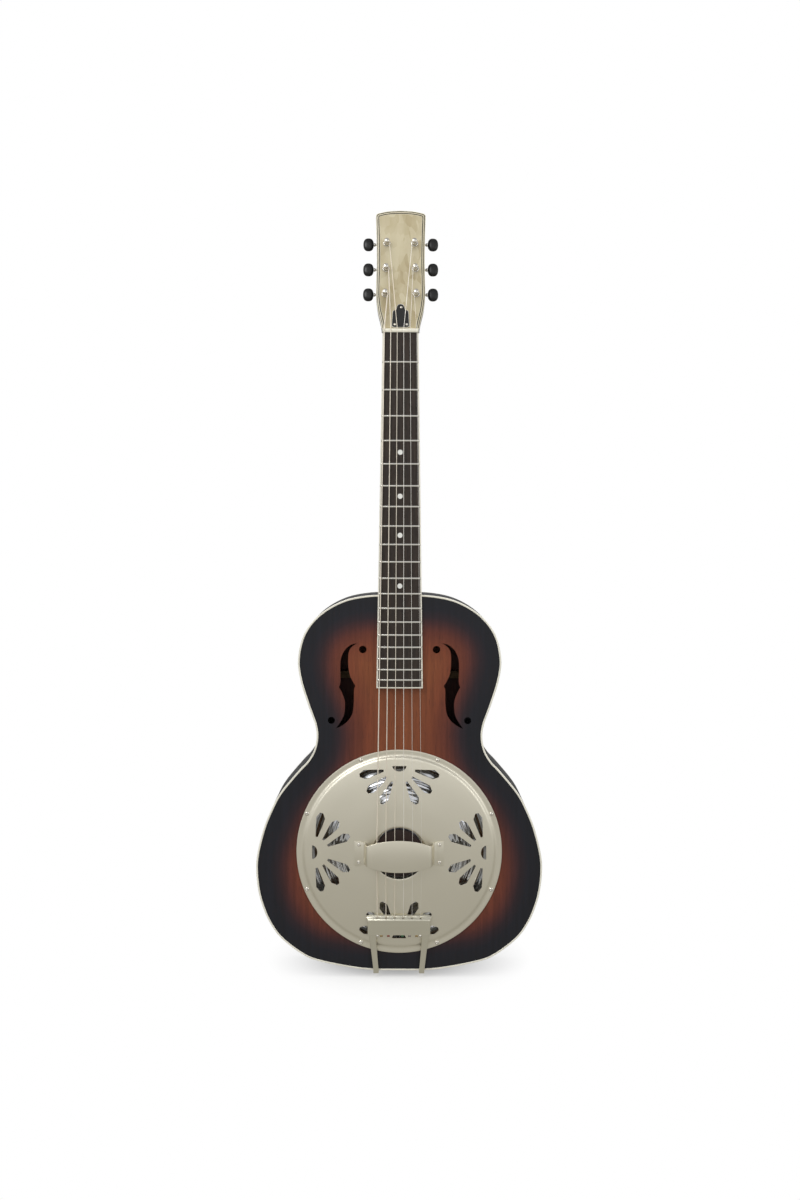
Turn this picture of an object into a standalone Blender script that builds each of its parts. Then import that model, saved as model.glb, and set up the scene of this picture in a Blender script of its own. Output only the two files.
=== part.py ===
"""Round-neck resonator guitar with a single cone, built as its separate pieces.

Metres. The guitar stands upright: +Z runs along the neck, the front faces -Y and +X is the treble side.
The origin is on the back's outer face, behind the middle of the cone.
Shapes are drawn in (u, v, w): u is +X, v is +Z and w is the height above the back's outer face.
"""

import math

import bmesh
import bpy
import numpy as np
from mathutils import Matrix, Vector

# ---------------------------------------------------------------- driving dimensions
GAP = 0.0003  # clearance between pieces that touch on the real guitar

SCALE_LENGTH = 0.62865
COMPENSATION = 0.0025
NUT_Z = SCALE_LENGTH + COMPENSATION  # the saddle is at z = 0
NECK_ANGLE = math.radians(1.3)
HEADSTOCK_ANGLE = math.radians(11)

BODY_DEPTH = 0.085
PANEL = 0.003  # top and back
SIDE_WALL = 0.0022
OUTLINE_POINTS = 72
OUTLINE_BEND = 0.05  # metres a radian: how much closer the outline's points come where it bends
BINDING_DEPTH = 0.0055
LINING_WIDTH = 0.006
LINING_HEIGHT = 0.010
BLOCK_HALF = 0.030
JOIN_Z = 0.3150  # where the neck meets the body

CONE_HOLE = 0.1178  # radius of the hole in the top
LEDGE_W = 0.066  # front of the ledge that the cone's rim rests on
COVER_RADIUS = 0.126
COVER_HOLE = 0.0317
COVER_SHEET = 0.0012
COVER_SCREW_RADIUS = 0.1222
SADDLE_TOP = 0.1036

NUT_HALF = 0.02175
NUT_LENGTH = 0.0048
NUT_TOP = 0.0862
BOARD_END_Z = NUT_Z - 0.4292
BOARD_END_HALF = 0.0282
BOARD_THICK = 0.0063
BOARD_BINDING = 0.0016
BOARD_AT_JOIN = 0.0923  # fretboard surface above the back where the neck meets the body
NOTCH_HALF = 0.0031  # channel for the truss rod
NOTCH_DEPTH = 0.009

FACE_THICK = 0.0016  # headstock overlay
HEAD_THICK = 0.0135  # overlay and wood together
POST_PLACES = ((0.0188, 0.0440), (0.0178, 0.0760), (0.0168, 0.1083))  # u and v on the treble side
POST_RADIUS = 0.0030
WORM_ABOVE_POST = 0.0052
WORM_W = -0.0173
SHAFT_RADIUS = 0.0015
BUTTON_CENTRE = 0.0396
BUTTON_HALF = (0.0065, 0.00815, 0.0034)

HINGE_Z = -0.1523  # tailpiece pin
HINGE_W = 0.052
BARREL_RADIUS = 0.0030
BORE_RADIUS = 0.0018
PIN_RADIUS = 0.0015
END_PIN_W = 0.034
END_PIN_OUT = 0.0062  # how far the end pin stands out of its bracket
BRACKET_HALF = 0.0200
BRACKET_LOW, BRACKET_HIGH = 0.0200, 0.0515  # heights above the back between which it lies
BRACKET_IN, BRACKET_OUT = 0.1488, 0.1503  # distances of its faces below the cone's middle
SHANK_BORE = 0.0033

STRING_RADII = (0.000675, 0.00053, 0.00040, 0.00030, 0.00021, 0.00015)
NUT_SPACING = 0.0078
SADDLE_SPACING = 0.01088
TAIL_SPACING = 0.0106
TAIL_STRING_W = 0.0980  # height of the strings where they meet the tailpiece's lip

# ---------------------------------------------------------------- outlines
# Right half of the body from the neck joint round to the tail, as (x, z).
BODY_HALF = (
    (0.0380, 0.3143), (0.0700, 0.3073), (0.0980, 0.2906), (0.1165, 0.2670), (0.1238, 0.2370),
    (0.1210, 0.2110), (0.1120, 0.1815), (0.1032, 0.1565), (0.1013, 0.1400), (0.1049, 0.1238),
    (0.1127, 0.1105), (0.1236, 0.0989), (0.1455, 0.0723), (0.1572, 0.0505), (0.1665, 0.0270),
    (0.1740, -0.0030), (0.1756, -0.0240), (0.1732, -0.0486), (0.1680, -0.0684), (0.1595, -0.0883),
    (0.1455, -0.1080), (0.1200, -0.1280), (0.0965, -0.1376), (0.0460, -0.1470),
)
BODY_TOP = (0.0, 0.3150)
BODY_TAIL = (0.0, -0.1484)

# The f-hole's slot as four smooth runs between its two tips and its two nicks, as (x, z).
F_RUNS = (
    ((0.0515, 0.2563), (0.0597, 0.2540), (0.0672, 0.2472), (0.0716, 0.2370), (0.0724, 0.2250),
     (0.0721, 0.2090), (0.0739, 0.2020)),
    ((0.0739, 0.2020), (0.0700, 0.1946), (0.0668, 0.1840), (0.0674, 0.1700), (0.0710, 0.1615),
     (0.0776, 0.1515)),
    ((0.0776, 0.1515), (0.0710, 0.1545), (0.0630, 0.1608), (0.0576, 0.1700), (0.0558, 0.1840),
     (0.0556, 0.1993), (0.0538, 0.2039)),
    ((0.0538, 0.2039), (0.0575, 0.2098), (0.0612, 0.2190), (0.0627, 0.2320), (0.0619, 0.2457),
     (0.0575, 0.2523), (0.0515, 0.2563)),
)
F_EYES = ((0.0449, 0.2484, 0.0046), (0.0832, 0.1615, 0.0043))  # x, z, radius

# Right half of the headstock from the nut to the middle of its top, as (u, v).
HEAD_SIDE = (
    (0.02275, 0.0), (0.0236, 0.0060), (0.0256, 0.0145), (0.0275, 0.0225), (0.0287, 0.0310),
    (0.0298, 0.0420), (0.0296, 0.0600), (0.0291, 0.0850), (0.0296, 0.1160), (0.0304, 0.1413),
)
HEAD_CORNER = ((0.0304, 0.1413), (0.0301, 0.1443), (0.0287, 0.1460), (0.0262, 0.1470))
HEAD_TOP = ((0.0262, 0.1470), (0.0150, 0.1493), (0.0, 0.1502))

# Right half of the bell-shaped truss rod cover, as (u, v).
BELL_HALF = (
    (0.0110, 0.0012), (0.0104, 0.0110), (0.0098, 0.0205), (0.0090, 0.0226), (0.0058, 0.0230),
    (0.0050, 0.0255), (0.0044, 0.0284), (0.0027, 0.0303),
)
BELL_TOP = (0.0, 0.0309)

# The coverplate's fans: a half-moon and six petals round a point near the rim, four times.
FAN_CENTRE = 0.105
PETAL_ANGLES = (-78, -52, -26, 26, 52, 78)
PETAL_FROM = 0.0195
PETAL_TO = 0.0495
PETAL_SHAPE = ((0.0, 0.0013), (0.40, 0.0036), (0.79, 0.0055), (1.0, 0.0020))  # share, half width
MOON_RADIUS = 0.0085
MOON_DEPTH = 0.0065

# ---------------------------------------------------------------- frames of reference
BODY = Matrix(((1, 0, 0, 0), (0, 0, -1, 0), (0, 1, 0, 0), (0, 0, 0, 1)))
ACROSS = Matrix(((0, 0, 1, 0), (-1, 0, 0, 0), (0, 1, 0, 0), (0, 0, 0, 1)))  # drawn as (w, v), along X
HEAD = (
    Matrix.Translation(BODY @ Vector((0, NUT_Z + 0.0053, 0.0792)))
    @ Matrix.Rotation(-HEADSTOCK_ANGLE, 4, "X")
    @ BODY
)
HEAD_ACROSS = HEAD @ Matrix(((0, 0, 1, 0), (0, 1, 0, 0), (1, 0, 0, 0), (0, 0, 0, 1)))  # as (w, v), along u
TAIL = Matrix(((1, 0, 0, 0), (0, -1, 0, 0), (0, 0, -1, 0), (0, 0, 0, 1)))  # drawn as (u, w), towards -Z


# ---------------------------------------------------------------- shared helpers
def clear_scene():
    for item in list(bpy.data.objects):
        bpy.data.objects.remove(item, do_unlink=True)


def finish_material(name, colour, roughness, metallic=0.0):
    material = bpy.data.materials.new(name)
    material.use_nodes = True
    shader = material.node_tree.nodes["Principled BSDF"]
    shader.inputs["Base Color"].default_value = (*colour, 1.0)
    shader.inputs["Roughness"].default_value = roughness
    shader.inputs["Metallic"].default_value = metallic
    return material


def finish(name, mesh_data, look, origin=(0, 0, 0)):
    """Turn a bmesh into a named object with outward faces and its origin at the given point."""
    bmesh.ops.remove_doubles(mesh_data, verts=mesh_data.verts, dist=1e-6)
    bmesh.ops.recalc_face_normals(mesh_data, faces=mesh_data.faces)
    bmesh.ops.translate(mesh_data, verts=mesh_data.verts, vec=-Vector(origin))
    mesh = bpy.data.meshes.new(name)
    mesh_data.to_mesh(mesh)
    mesh_data.free()
    mesh.shade_smooth()
    mesh.set_sharp_from_angle(angle=math.radians(35))
    piece = bpy.data.objects.new(name, mesh)
    piece.location = origin
    bpy.context.scene.collection.objects.link(piece)
    mesh.materials.append(finish_material(name, *look))
    return piece


def spaced(run, count, bend=0.0):
    """count points along a dense run, closer together where it turns if bend (metres a radian) is set."""
    steps = np.diff(run, axis=0)
    heading = np.unwrap(np.arctan2(steps[:, 1], steps[:, 0]))
    turn = abs(np.gradient(heading))
    measure = np.concatenate([[0], np.cumsum(np.linalg.norm(steps, axis=1) + bend * turn)])
    wanted = np.linspace(0, measure[-1], count)
    return np.column_stack([np.interp(wanted, measure, axis) for axis in run.T])


def smooth_run(points, count):
    """Points evenly spaced along a Catmull-Rom curve through an open run of points."""
    knots = np.array(points, float)
    padded = np.vstack([2 * knots[0] - knots[1], knots, 2 * knots[-1] - knots[-2]])
    share = np.linspace(0, 1, 12, endpoint=False)[:, None]
    spans = []
    for a, b, c, d in zip(padded, padded[1:], padded[2:], padded[3:]):
        cubic = 2 * b + (c - a) * share + (2 * a - 5 * b + 4 * c - d) * share**2
        spans.append(0.5 * (cubic + (3 * b - a - 3 * c + d) * share**3))
    return spaced(np.vstack(spans + [knots[-1:]]), count)


def offset_run(run, distance):
    """The run moved sideways, to its right-hand side."""
    heading = np.gradient(run, axis=0)
    heading /= np.linalg.norm(heading, axis=1)[:, None]
    return run + distance * np.column_stack([heading[:, 1], -heading[:, 0]])


def body_outline(inset):
    """The body's outline as a clockwise closed loop, moved inwards by inset."""
    around = ((-0.038, 0.3143), BODY_TOP, *BODY_HALF, BODY_TAIL, (-0.046, -0.147))
    dense = smooth_run(around, 900)
    dense = dense[dense[:, 0] > 0]
    right = spaced(np.vstack([BODY_TOP, dense, BODY_TAIL]), OUTLINE_POINTS // 2 + 1, OUTLINE_BEND)
    left = right[-2:0:-1] * (-1, 1)
    loop = np.vstack([right, left])
    ring = np.vstack([loop[-1:], loop, loop[:1]])
    return offset_run(ring, inset)[1:-1]


def circle(u, v, radius, count, phase=0.0):
    angle = np.linspace(0, 2 * math.pi, count, endpoint=False) + phase
    return np.column_stack([u + radius * np.cos(angle), v + radius * np.sin(angle)])


def rectangle(u0, v0, u1, v1):
    return np.array([(u0, v0), (u1, v0), (u1, v1), (u0, v1)])


def mirrored(loop):
    return np.asarray(loop)[::-1] * (-1, 1)


def slab(name, loops, low, high, look, frame=BODY, origin=(0, 0, 0)):
    """A plate between two heights; its first loop is its edge and the others are holes in it.

    low and high are numbers, or functions of (u, v) for a plate whose faces slope.
    """
    build = bmesh.new()
    edges = []
    for loop in loops:
        corners = [build.verts.new((u, v, 0)) for u, v in loop]
        edges += [build.edges.new(pair) for pair in zip(corners, corners[1:] + corners[:1])]
    bmesh.ops.triangle_fill(build, edges=edges, use_beauty=True, normal=(0, 0, 1))
    lower = list(build.verts)
    raised = bmesh.ops.extrude_face_region(build, geom=list(build.faces))
    upper = [item for item in raised["geom"] if isinstance(item, bmesh.types.BMVert)]
    for corners, height in ((lower, low), (upper, high)):
        for corner in corners:
            corner.co.z = height(corner.co.x, corner.co.y) if callable(height) else height
    bmesh.ops.transform(build, matrix=frame, verts=build.verts)
    return finish(name, build, look, origin)


def loft(name, rings, look, frame=BODY, origin=(0, 0, 0)):
    """A closed solid through rings with the same number of points."""
    build = bmesh.new()
    rows = [[build.verts.new(frame @ Vector(point)) for point in ring] for ring in rings]
    for row, after in zip(rows, rows[1:]):
        for i, corner in enumerate(row):
            j = (i + 1) % len(row)
            build.faces.new((corner, row[j], after[j], after[i]))
    build.faces.new(rows[0])
    build.faces.new(rows[-1])
    return finish(name, build, look, origin)


def turned(name, profile, look, segments, frame=BODY, closed=False, origin=(0, 0, 0)):
    """A profile of (radius, height) points spun round the frame's w axis."""
    build = bmesh.new()
    corners = [build.verts.new((radius, 0, height)) for radius, height in profile]
    pairs = list(zip(corners, corners[1:]))
    if closed:
        pairs.append((corners[-1], corners[0]))
    edges = [build.edges.new(pair) for pair in pairs]
    bmesh.ops.spin(
        build, geom=corners + edges, cent=(0, 0, 0), axis=(0, 0, 1), angle=2 * math.pi, steps=segments
    )
    bmesh.ops.transform(build, matrix=frame, verts=build.verts)
    return finish(name, build, look, origin)


def strap_rings(path, half_widths, thickness, middles=None):
    """Rings of a bent strip: the path runs in (a, b), and the strip's width is along the third axis."""
    run = np.array(path, float)
    heading = np.gradient(run, axis=0)
    heading /= np.linalg.norm(heading, axis=1)[:, None]
    sideways = np.column_stack([-heading[:, 1], heading[:, 0]]) * thickness / 2
    middles = middles or [0.0] * len(run)
    rings = []
    for point, side, half, middle in zip(run, sideways, half_widths, middles):
        near, far = point - side, point + side
        rings.append([
            (*near, middle - half), (*near, middle + half), (*far, middle + half), (*far, middle - half)
        ])
    return rings


def combine(piece, other, operation):
    """Join or cut with a hidden helper object, through a Boolean modifier."""
    other.hide_render = True
    other.display_type = "WIRE"
    modifier = piece.modifiers.new(other.name, "BOOLEAN")
    modifier.operation = operation
    modifier.object = other
    modifier.solver = "EXACT"


# ---------------------------------------------------------------- body
MAHOGANY = ((0.22, 0.06, 0.025), 0.35)
DARK_WOOD = ((0.02, 0.015, 0.015), 0.35)
PLAIN_WOOD = ((0.45, 0.30, 0.17), 0.7)
CREAM = ((0.72, 0.68, 0.52), 0.4)
NICKEL = ((0.62, 0.58, 0.47), 0.35, 1.0)
ALUMINIUM = ((0.75, 0.76, 0.78), 0.3, 1.0)
STEEL = ((0.6, 0.6, 0.6), 0.3, 1.0)
BLACK = ((0.01, 0.01, 0.01), 0.3)
ROSEWOOD = ((0.045, 0.028, 0.02), 0.5)
BONE = ((0.85, 0.82, 0.72), 0.4)


def make_shell():
    wall = [body_outline(0), body_outline(SIDE_WALL)]
    inner_edge = BODY_DEPTH - BINDING_DEPTH
    slab("back_panel", [body_outline(SIDE_WALL + GAP)], 0, PANEL, DARK_WOOD)
    slab("back_binding", wall, 0, BINDING_DEPTH, CREAM)
    slab("top_binding", wall, inner_edge, BODY_DEPTH, CREAM)
    rim = slab("rim", wall, BINDING_DEPTH + GAP, inner_edge - GAP, DARK_WOOD)
    combine(rim, end_pin_bore("rim_bore"), "DIFFERENCE")

    low = PANEL + GAP
    high = BODY_DEPTH - PANEL - GAP
    ring = [body_outline(SIDE_WALL + GAP), body_outline(SIDE_WALL + GAP + LINING_WIDTH)]
    slab("back_lining", ring, low, low + LINING_HEIGHT, PLAIN_WOOD)
    slab("top_lining", ring, high - LINING_HEIGHT, high, PLAIN_WOOD)


def f_hole():
    runs = [smooth_run(run, 8)[:-1] for run in F_RUNS]
    return np.vstack(runs)


def screw_places():
    return circle(0, 0, COVER_SCREW_RADIUS, 8, math.radians(22.5))


def make_top():
    slot = f_hole()
    holes = [circle(0, 0, CONE_HOLE, 48), slot, mirrored(slot)]
    for x, z, radius in F_EYES:
        holes += [circle(x, z, radius, 12), circle(-x, z, radius, 12)]
    holes += [circle(x, z, 0.0015, 6) for x, z in screw_places()]
    edge = body_outline(SIDE_WALL + GAP)
    slab("top_panel", [edge, *holes], BODY_DEPTH - PANEL, BODY_DEPTH, MAHOGANY)


def end_pin_bore(name):
    """A cutter along the end pin's axis, through the rim and into the tail block."""
    return slab(name, [circle(0, END_PIN_W, SHANK_BORE, 12)], 0.118, 0.16, STEEL, frame=TAIL)


def block_profile(face, seat, inner):
    """A block's (w, v) profile: full height from face to seat, and between the linings out to inner."""
    low = PANEL + GAP
    high = BODY_DEPTH - PANEL - GAP
    step = LINING_HEIGHT + GAP
    return [
        (low, face), (low, seat), (low + step, seat), (low + step, inner),
        (high - step, inner), (high - step, seat), (high, seat), (high, face),
    ]


def make_inside():
    lining = SIDE_WALL + LINING_WIDTH + 2 * GAP + 0.0010
    rim_clear = SIDE_WALL + GAP + 0.0008
    top_z, tail_z = BODY_TOP[1], BODY_TAIL[1]
    neck_block = block_profile(0.266, top_z - lining, top_z - rim_clear)
    slab("neck_block", [neck_block], -BLOCK_HALF, BLOCK_HALF, PLAIN_WOOD, frame=ACROSS)
    tail_block = block_profile(-0.1235, tail_z + lining, tail_z + rim_clear)
    tail = slab("tail_block", [tail_block], -BLOCK_HALF, BLOCK_HALF, PLAIN_WOOD, frame=ACROSS)
    combine(tail, end_pin_bore("block_bore"), "DIFFERENCE")

    high = BODY_DEPTH - PANEL - GAP
    low = PANEL + GAP
    slab("top_brace", [rectangle(-0.088, 0.1330, 0.088, 0.1415)], high - 0.012, high, PLAIN_WOOD)
    slab("back_brace_upper", [rectangle(-0.108, 0.2060, 0.108, 0.2150)], low, low + 0.014, PLAIN_WOOD)
    slab("back_brace_lower", [rectangle(-0.158, -0.0150, 0.158, -0.0050)], low, low + 0.014, PLAIN_WOOD)

    well = [
        (0.1206, high), (CONE_HOLE + 0.0004, high), (CONE_HOLE + 0.0004, LEDGE_W), (0.109, LEDGE_W),
        (0.109, LEDGE_W - 0.006), (0.1206, LEDGE_W - 0.006),
    ]
    turned("soundwell", well, PLAIN_WOOD, 48, closed=True)


# ---------------------------------------------------------------- cone, biscuit and cover
def sheet_profile(points, thickness):
    """A closed profile of even thickness below a run of (radius, height) points."""
    return [*points, *[(radius, height - thickness) for radius, height in reversed(points)]]


def make_cone():
    rim = LEDGE_W + GAP + 0.0008
    shape = [
        (0.1165, rim), (0.1084, rim), (0.1050, rim - 0.0015), (0.1015, rim + 0.0005), (0.0680, rim + 0.0122),
        (0.0320, 0.0876), (0.0300, 0.0879), (0.0040, 0.0879),
    ]
    turned("cone", sheet_profile(shape, 0.0008), ALUMINIUM, 36, closed=True)
    slab("biscuit", [circle(0, 0, 0.0290, 32)], 0.0882, 0.0952, DARK_WOOD)
    slab("saddle", [rectangle(-0.0286, -0.0016, 0.0286, 0.0016)], 0.0955, SADDLE_TOP, PLAIN_WOOD)


def petal(angle):
    """One petal of a fan whose centre is at the origin and whose inward direction is -v."""
    along = np.array((math.sin(angle), -math.cos(angle)))
    across = np.array((along[1], -along[0]))
    sides = []
    for side in (-1, 1):
        for share, half in PETAL_SHAPE:
            reach = PETAL_FROM + share * (PETAL_TO - PETAL_FROM)
            sides.append(along * reach + across * half * side)
    count = len(PETAL_SHAPE)
    return np.array(sides[:count] + sides[:count - 1 : -1])


def half_moon():
    """The fan's middle: flat towards the rim and round towards the plate's centre."""
    angle = np.linspace(math.pi, 2 * math.pi, 7)
    arc = np.column_stack([MOON_RADIUS * np.cos(angle), MOON_DEPTH * np.sin(angle)])
    return arc + (0, 0.0015)


def fan_openings():
    shapes = [half_moon()] + [petal(math.radians(angle)) for angle in PETAL_ANGLES]
    openings = []
    for quarter in range(4):
        turn = quarter * math.pi / 2
        spin = np.array(((math.cos(turn), math.sin(turn)), (-math.sin(turn), math.cos(turn))))
        openings += [(shape + (0, FAN_CENTRE)) @ spin for shape in shapes]
    return openings


def make_coverplate():
    flange = BODY_DEPTH + GAP + COVER_SHEET
    shape = [
        (COVER_RADIUS, flange), (0.1185, flange), (0.1165, flange + 0.0022), (0.0950, flange + 0.0052),
        (0.0640, flange + 0.0078), (COVER_HOLE, flange + 0.0092),
    ]
    plate = turned("coverplate", sheet_profile(shape, COVER_SHEET), NICKEL, 48, closed=True)
    openings = fan_openings() + [circle(x, z, 0.0015, 6) for x, z in screw_places()]
    cutter = slab("cover_openings", openings, 0.080, 0.104, NICKEL)
    combine(plate, cutter, "DIFFERENCE")

    head = flange + GAP
    screw = [
        (0, head + 0.0018), (0.0017, head + 0.0014), (0.0027, head), (0.0011, head),
        (0.0011, BODY_DEPTH - PANEL + GAP), (0, BODY_DEPTH - PANEL + GAP),
    ]
    for number, (x, z) in enumerate(screw_places(), 1):
        place = Matrix.Translation((x, 0, z)) @ BODY
        turned(f"cover_screw_{number}", screw, STEEL, 8, frame=place, origin=(x, -head, z))


def make_hand_rest():
    foot = 0.0957
    roof = 0.1128
    path = [
        (-0.0543, foot), (-0.0440, foot + 0.0005), (-0.0412, foot + 0.0030), (-0.0396, roof - 0.0030),
        (-0.0370, roof), (-0.0200, roof + 0.0003), (0.0, roof + 0.0004),
    ]
    halves = [0.01525, 0.01525, 0.0135, 0.0125, 0.0130, 0.0175, 0.0195]
    path += [(-a, b) for a, b in path[-2::-1]]
    halves += halves[-2::-1]
    frame = BODY @ Matrix(((1, 0, 0, 0), (0, 0, 1, 0), (0, 1, 0, 0), (0, 0, 0, 1)))
    loft("hand_rest", strap_rings(path, halves, 0.0014), NICKEL, frame)


# ---------------------------------------------------------------- tailpiece
def barrel(name, start, end):
    loops = [circle(HINGE_W, HINGE_Z, BARREL_RADIUS, 12), circle(HINGE_W, HINGE_Z, BORE_RADIUS, 12)]
    return slab(name, loops, start, end, NICKEL, frame=ACROSS)


def make_tailpiece():
    hinge = (0, -HINGE_W, HINGE_Z)
    sheet = 0.0015
    plate_path = [(0.0950, -0.0765), (0.0990, -0.0816), (0.0984, -0.0900), (0.0972, -0.1003)]
    plate = loft(
        "tailpiece", strap_rings(plate_path, [0.03825] * 4, sheet), NICKEL, frame=ACROSS, origin=hinge
    )
    arm_path = [
        (0.0974, -0.0985), (0.0925, -0.1180), (0.0895, -0.1400), (0.0885, -0.1468), (0.0865, -0.1502),
        (0.0830, -0.1517), (0.0560, -0.1520), (0.0544, -0.1522),
    ]
    middles = [0.0327, 0.0309, 0.0288, 0.0282, 0.0281, 0.0281, 0.0281, 0.0281]
    halves = [0.00465, 0.0042, 0.0034, 0.00325, 0.00325, 0.00325, 0.00325, 0.00325]
    for side, word in ((-1, "left"), (1, "right")):
        shifted = [side * middle for middle in middles]
        arm = loft(f"arm_{word}", strap_rings(arm_path, halves, sheet, shifted), NICKEL, frame=ACROSS)
        ends = sorted((side * 0.02485, side * 0.03135))
        combine(plate, arm, "UNION")
        combine(plate, barrel(f"knuckle_{word}", *ends), "UNION")

    outline = rectangle(-BRACKET_HALF, BRACKET_LOW, BRACKET_HALF, BRACKET_HIGH)
    hole = circle(0, END_PIN_W, SHANK_BORE, 12)
    bracket = slab("tailpiece_bracket", [outline, hole], BRACKET_IN, BRACKET_OUT, NICKEL, frame=TAIL)
    combine(bracket, barrel("bracket_knuckle", -0.0245, 0.0245), "UNION")
    slab(
        "tailpiece_pin", [circle(HINGE_W, HINGE_Z, PIN_RADIUS, 12)], -0.0335, 0.0335, STEEL, frame=ACROSS
    )
    out = BRACKET_OUT + GAP
    profile = [
        (0, out + END_PIN_OUT), (0.0045, out + END_PIN_OUT), (0.0070, out + 0.0046), (0.0046, out + 0.0022),
        (0.0055, out), (0.0030, out), (0.0030, 0.1260), (0, 0.1260),
    ]
    place = Matrix.Translation((0, -END_PIN_W, 0)) @ TAIL
    turned("end_pin", profile, NICKEL, 14, frame=place)


# ---------------------------------------------------------------- neck and fretboard
def board_surface(z):
    return BOARD_AT_JOIN + (JOIN_Z - z) * math.tan(NECK_ANGLE)


def board_half(z):
    share = (NUT_Z - z) / (NUT_Z - BOARD_END_Z)
    return NUT_HALF + share * (BOARD_END_HALF - NUT_HALF)


def board_underside(z):
    """Rests on the top over the body, and on the neck beyond it."""
    if z < JOIN_Z:
        return BODY_DEPTH + GAP
    return board_surface(z) - BOARD_THICK


def neck_top(z):
    return board_surface(z) - BOARD_THICK - GAP


def board_loop(inset, start):
    """Half a plan of the fretboard, from the body end to the nut, along its treble edge."""
    stations = (start, JOIN_Z - 0.0003, JOIN_Z + 0.0003, NUT_Z - GAP)
    return [(board_half(z) - inset, z) for z in stations]


def make_fretboard():
    def over(u, v):
        return board_surface(v)

    def under(u, v):
        return board_underside(v)

    inner = board_loop(BOARD_BINDING + GAP, BOARD_END_Z + BOARD_BINDING + GAP)
    plan = inner + [(-u, v) for u, v in reversed(inner)]
    slab("fretboard", [plan], under, over, ROSEWOOD)

    outside = board_loop(0, BOARD_END_Z)
    inside = board_loop(BOARD_BINDING, BOARD_END_Z + BOARD_BINDING)
    right = list(reversed(outside))
    left = [(-u, v) for u, v in outside]
    back_left = [(-u, v) for u, v in reversed(inside)]
    slab("fretboard_binding", [right + left + back_left + inside], under, over, CREAM)

    nut = rectangle(-NUT_HALF, NUT_Z, NUT_HALF, NUT_Z + NUT_LENGTH)
    slab("nut", [nut], neck_top(NUT_Z) + GAP, NUT_TOP, BONE)


HEEL_FLAT = 0.0118
NECK_STATIONS = (  # z, depth of the wood below the fretboard
    (0.3157, 0.0860), (0.3240, 0.0800), (0.3320, 0.0640), (0.3380, 0.0440), (0.3450, 0.0280),
    (0.3560, 0.0200), (0.3800, 0.0180), (0.4800, 0.0170), (0.5940, 0.0154), (0.6240, 0.0150),
    (0.6355, 0.0146),
)
VOLUTE_STATIONS = ((0.6359, 0.0138), (0.6436, 0.0128), (0.6526, 0.0104))


def neck_ring(z, half, depth, top):
    """A half-ellipse below a flat that has the truss rod's channel in its middle."""
    angle = np.linspace(0, -math.pi, 10)
    ring = [(-half, top), (-NOTCH_HALF, top), (-NOTCH_HALF, top - NOTCH_DEPTH)]
    ring += [(NOTCH_HALF, top - NOTCH_DEPTH), (NOTCH_HALF, top)]
    ring += [(half * math.cos(a), top + depth * math.sin(a)) for a in angle[:-1]]
    return [(u, z, max(w, HEEL_FLAT)) for u, w in ring]


def head_face(z):
    """Height of the headstock's wooden face above the back, at a given z."""
    return 0.0792 - (z - NUT_Z - 0.0053) * math.tan(HEADSTOCK_ANGLE) - FACE_THICK - GAP


def head_run(inset):
    """The headstock's edge from the nut on the treble side, over its top, to the nut on the other."""
    right = np.vstack([
        smooth_run(HEAD_SIDE, 9)[:-1], smooth_run(HEAD_CORNER, 4)[:-1], smooth_run(HEAD_TOP, 5)
    ])
    whole = np.vstack([right, (right * (-1, 1))[-2::-1]])
    moved = offset_run(whole, -inset)
    moved[[0, -1], 1] = 0
    return moved


def make_neck():
    rings = [neck_ring(z, board_half(z) - 0.0001, depth, neck_top(z)) for z, depth in NECK_STATIONS]
    rings += [neck_ring(z, 0.0222, depth, head_face(z) - 0.0008) for z, depth in VOLUTE_STATIONS]
    neck = loft("neck", rings, DARK_WOOD)

    edge = head_run(0)
    edge[[0, -1], 1] = -0.0010
    holes = [circle(side * u, v, POST_RADIUS + 0.0004, 10) for u, v in POST_PLACES for side in (1, -1)]
    head = slab("head_wood", [edge, *holes], -HEAD_THICK, -FACE_THICK - GAP, DARK_WOOD, frame=HEAD)
    combine(neck, head, "UNION")
    pocket = slab(
        "rod_pocket", [rectangle(-0.0042, -0.0035, 0.0042, 0.0262)], -0.0098, 0.002, STEEL, frame=HEAD
    )
    combine(neck, pocket, "DIFFERENCE")

    cap = [(0.0140, JOIN_Z + 0.0007), (0.0128, 0.3240), (0.0080, 0.3285), (0, 0.3302)]
    cap = cap + [(-u, v) for u, v in cap[-2::-1]]
    slab("heel_cap", [cap], HEEL_FLAT - GAP - 0.002, HEEL_FLAT - GAP, BLACK)


def make_headstock():
    holes = [circle(side * u, v, POST_RADIUS + 0.0004, 10) for u, v in POST_PLACES for side in (1, -1)]
    window = rectangle(-0.0042, 0.0020, 0.0042, 0.0262)
    face = head_run(0.0024 + GAP)
    face[[0, -1], 1] = GAP
    slab("headstock_face", [face, window, *holes], -FACE_THICK, 0, CREAM, frame=HEAD)
    outer, inner = head_run(0), head_run(0.0024)
    slab("headstock_binding", [np.vstack([outer, inner[::-1]])], -FACE_THICK, 0, BLACK, frame=HEAD)
    bell = [*BELL_HALF, BELL_TOP, *[(-u, v) for u, v in reversed(BELL_HALF)]]
    slab("truss_rod_cover", [bell], GAP, GAP + 0.0018, BLACK, frame=HEAD)


def rod_ring(z, half, centre, half_height):
    return [
        (-half, z, centre - half_height), (half, z, centre - half_height),
        (half, z, centre + half_height), (-half, z, centre + half_height),
    ]


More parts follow.
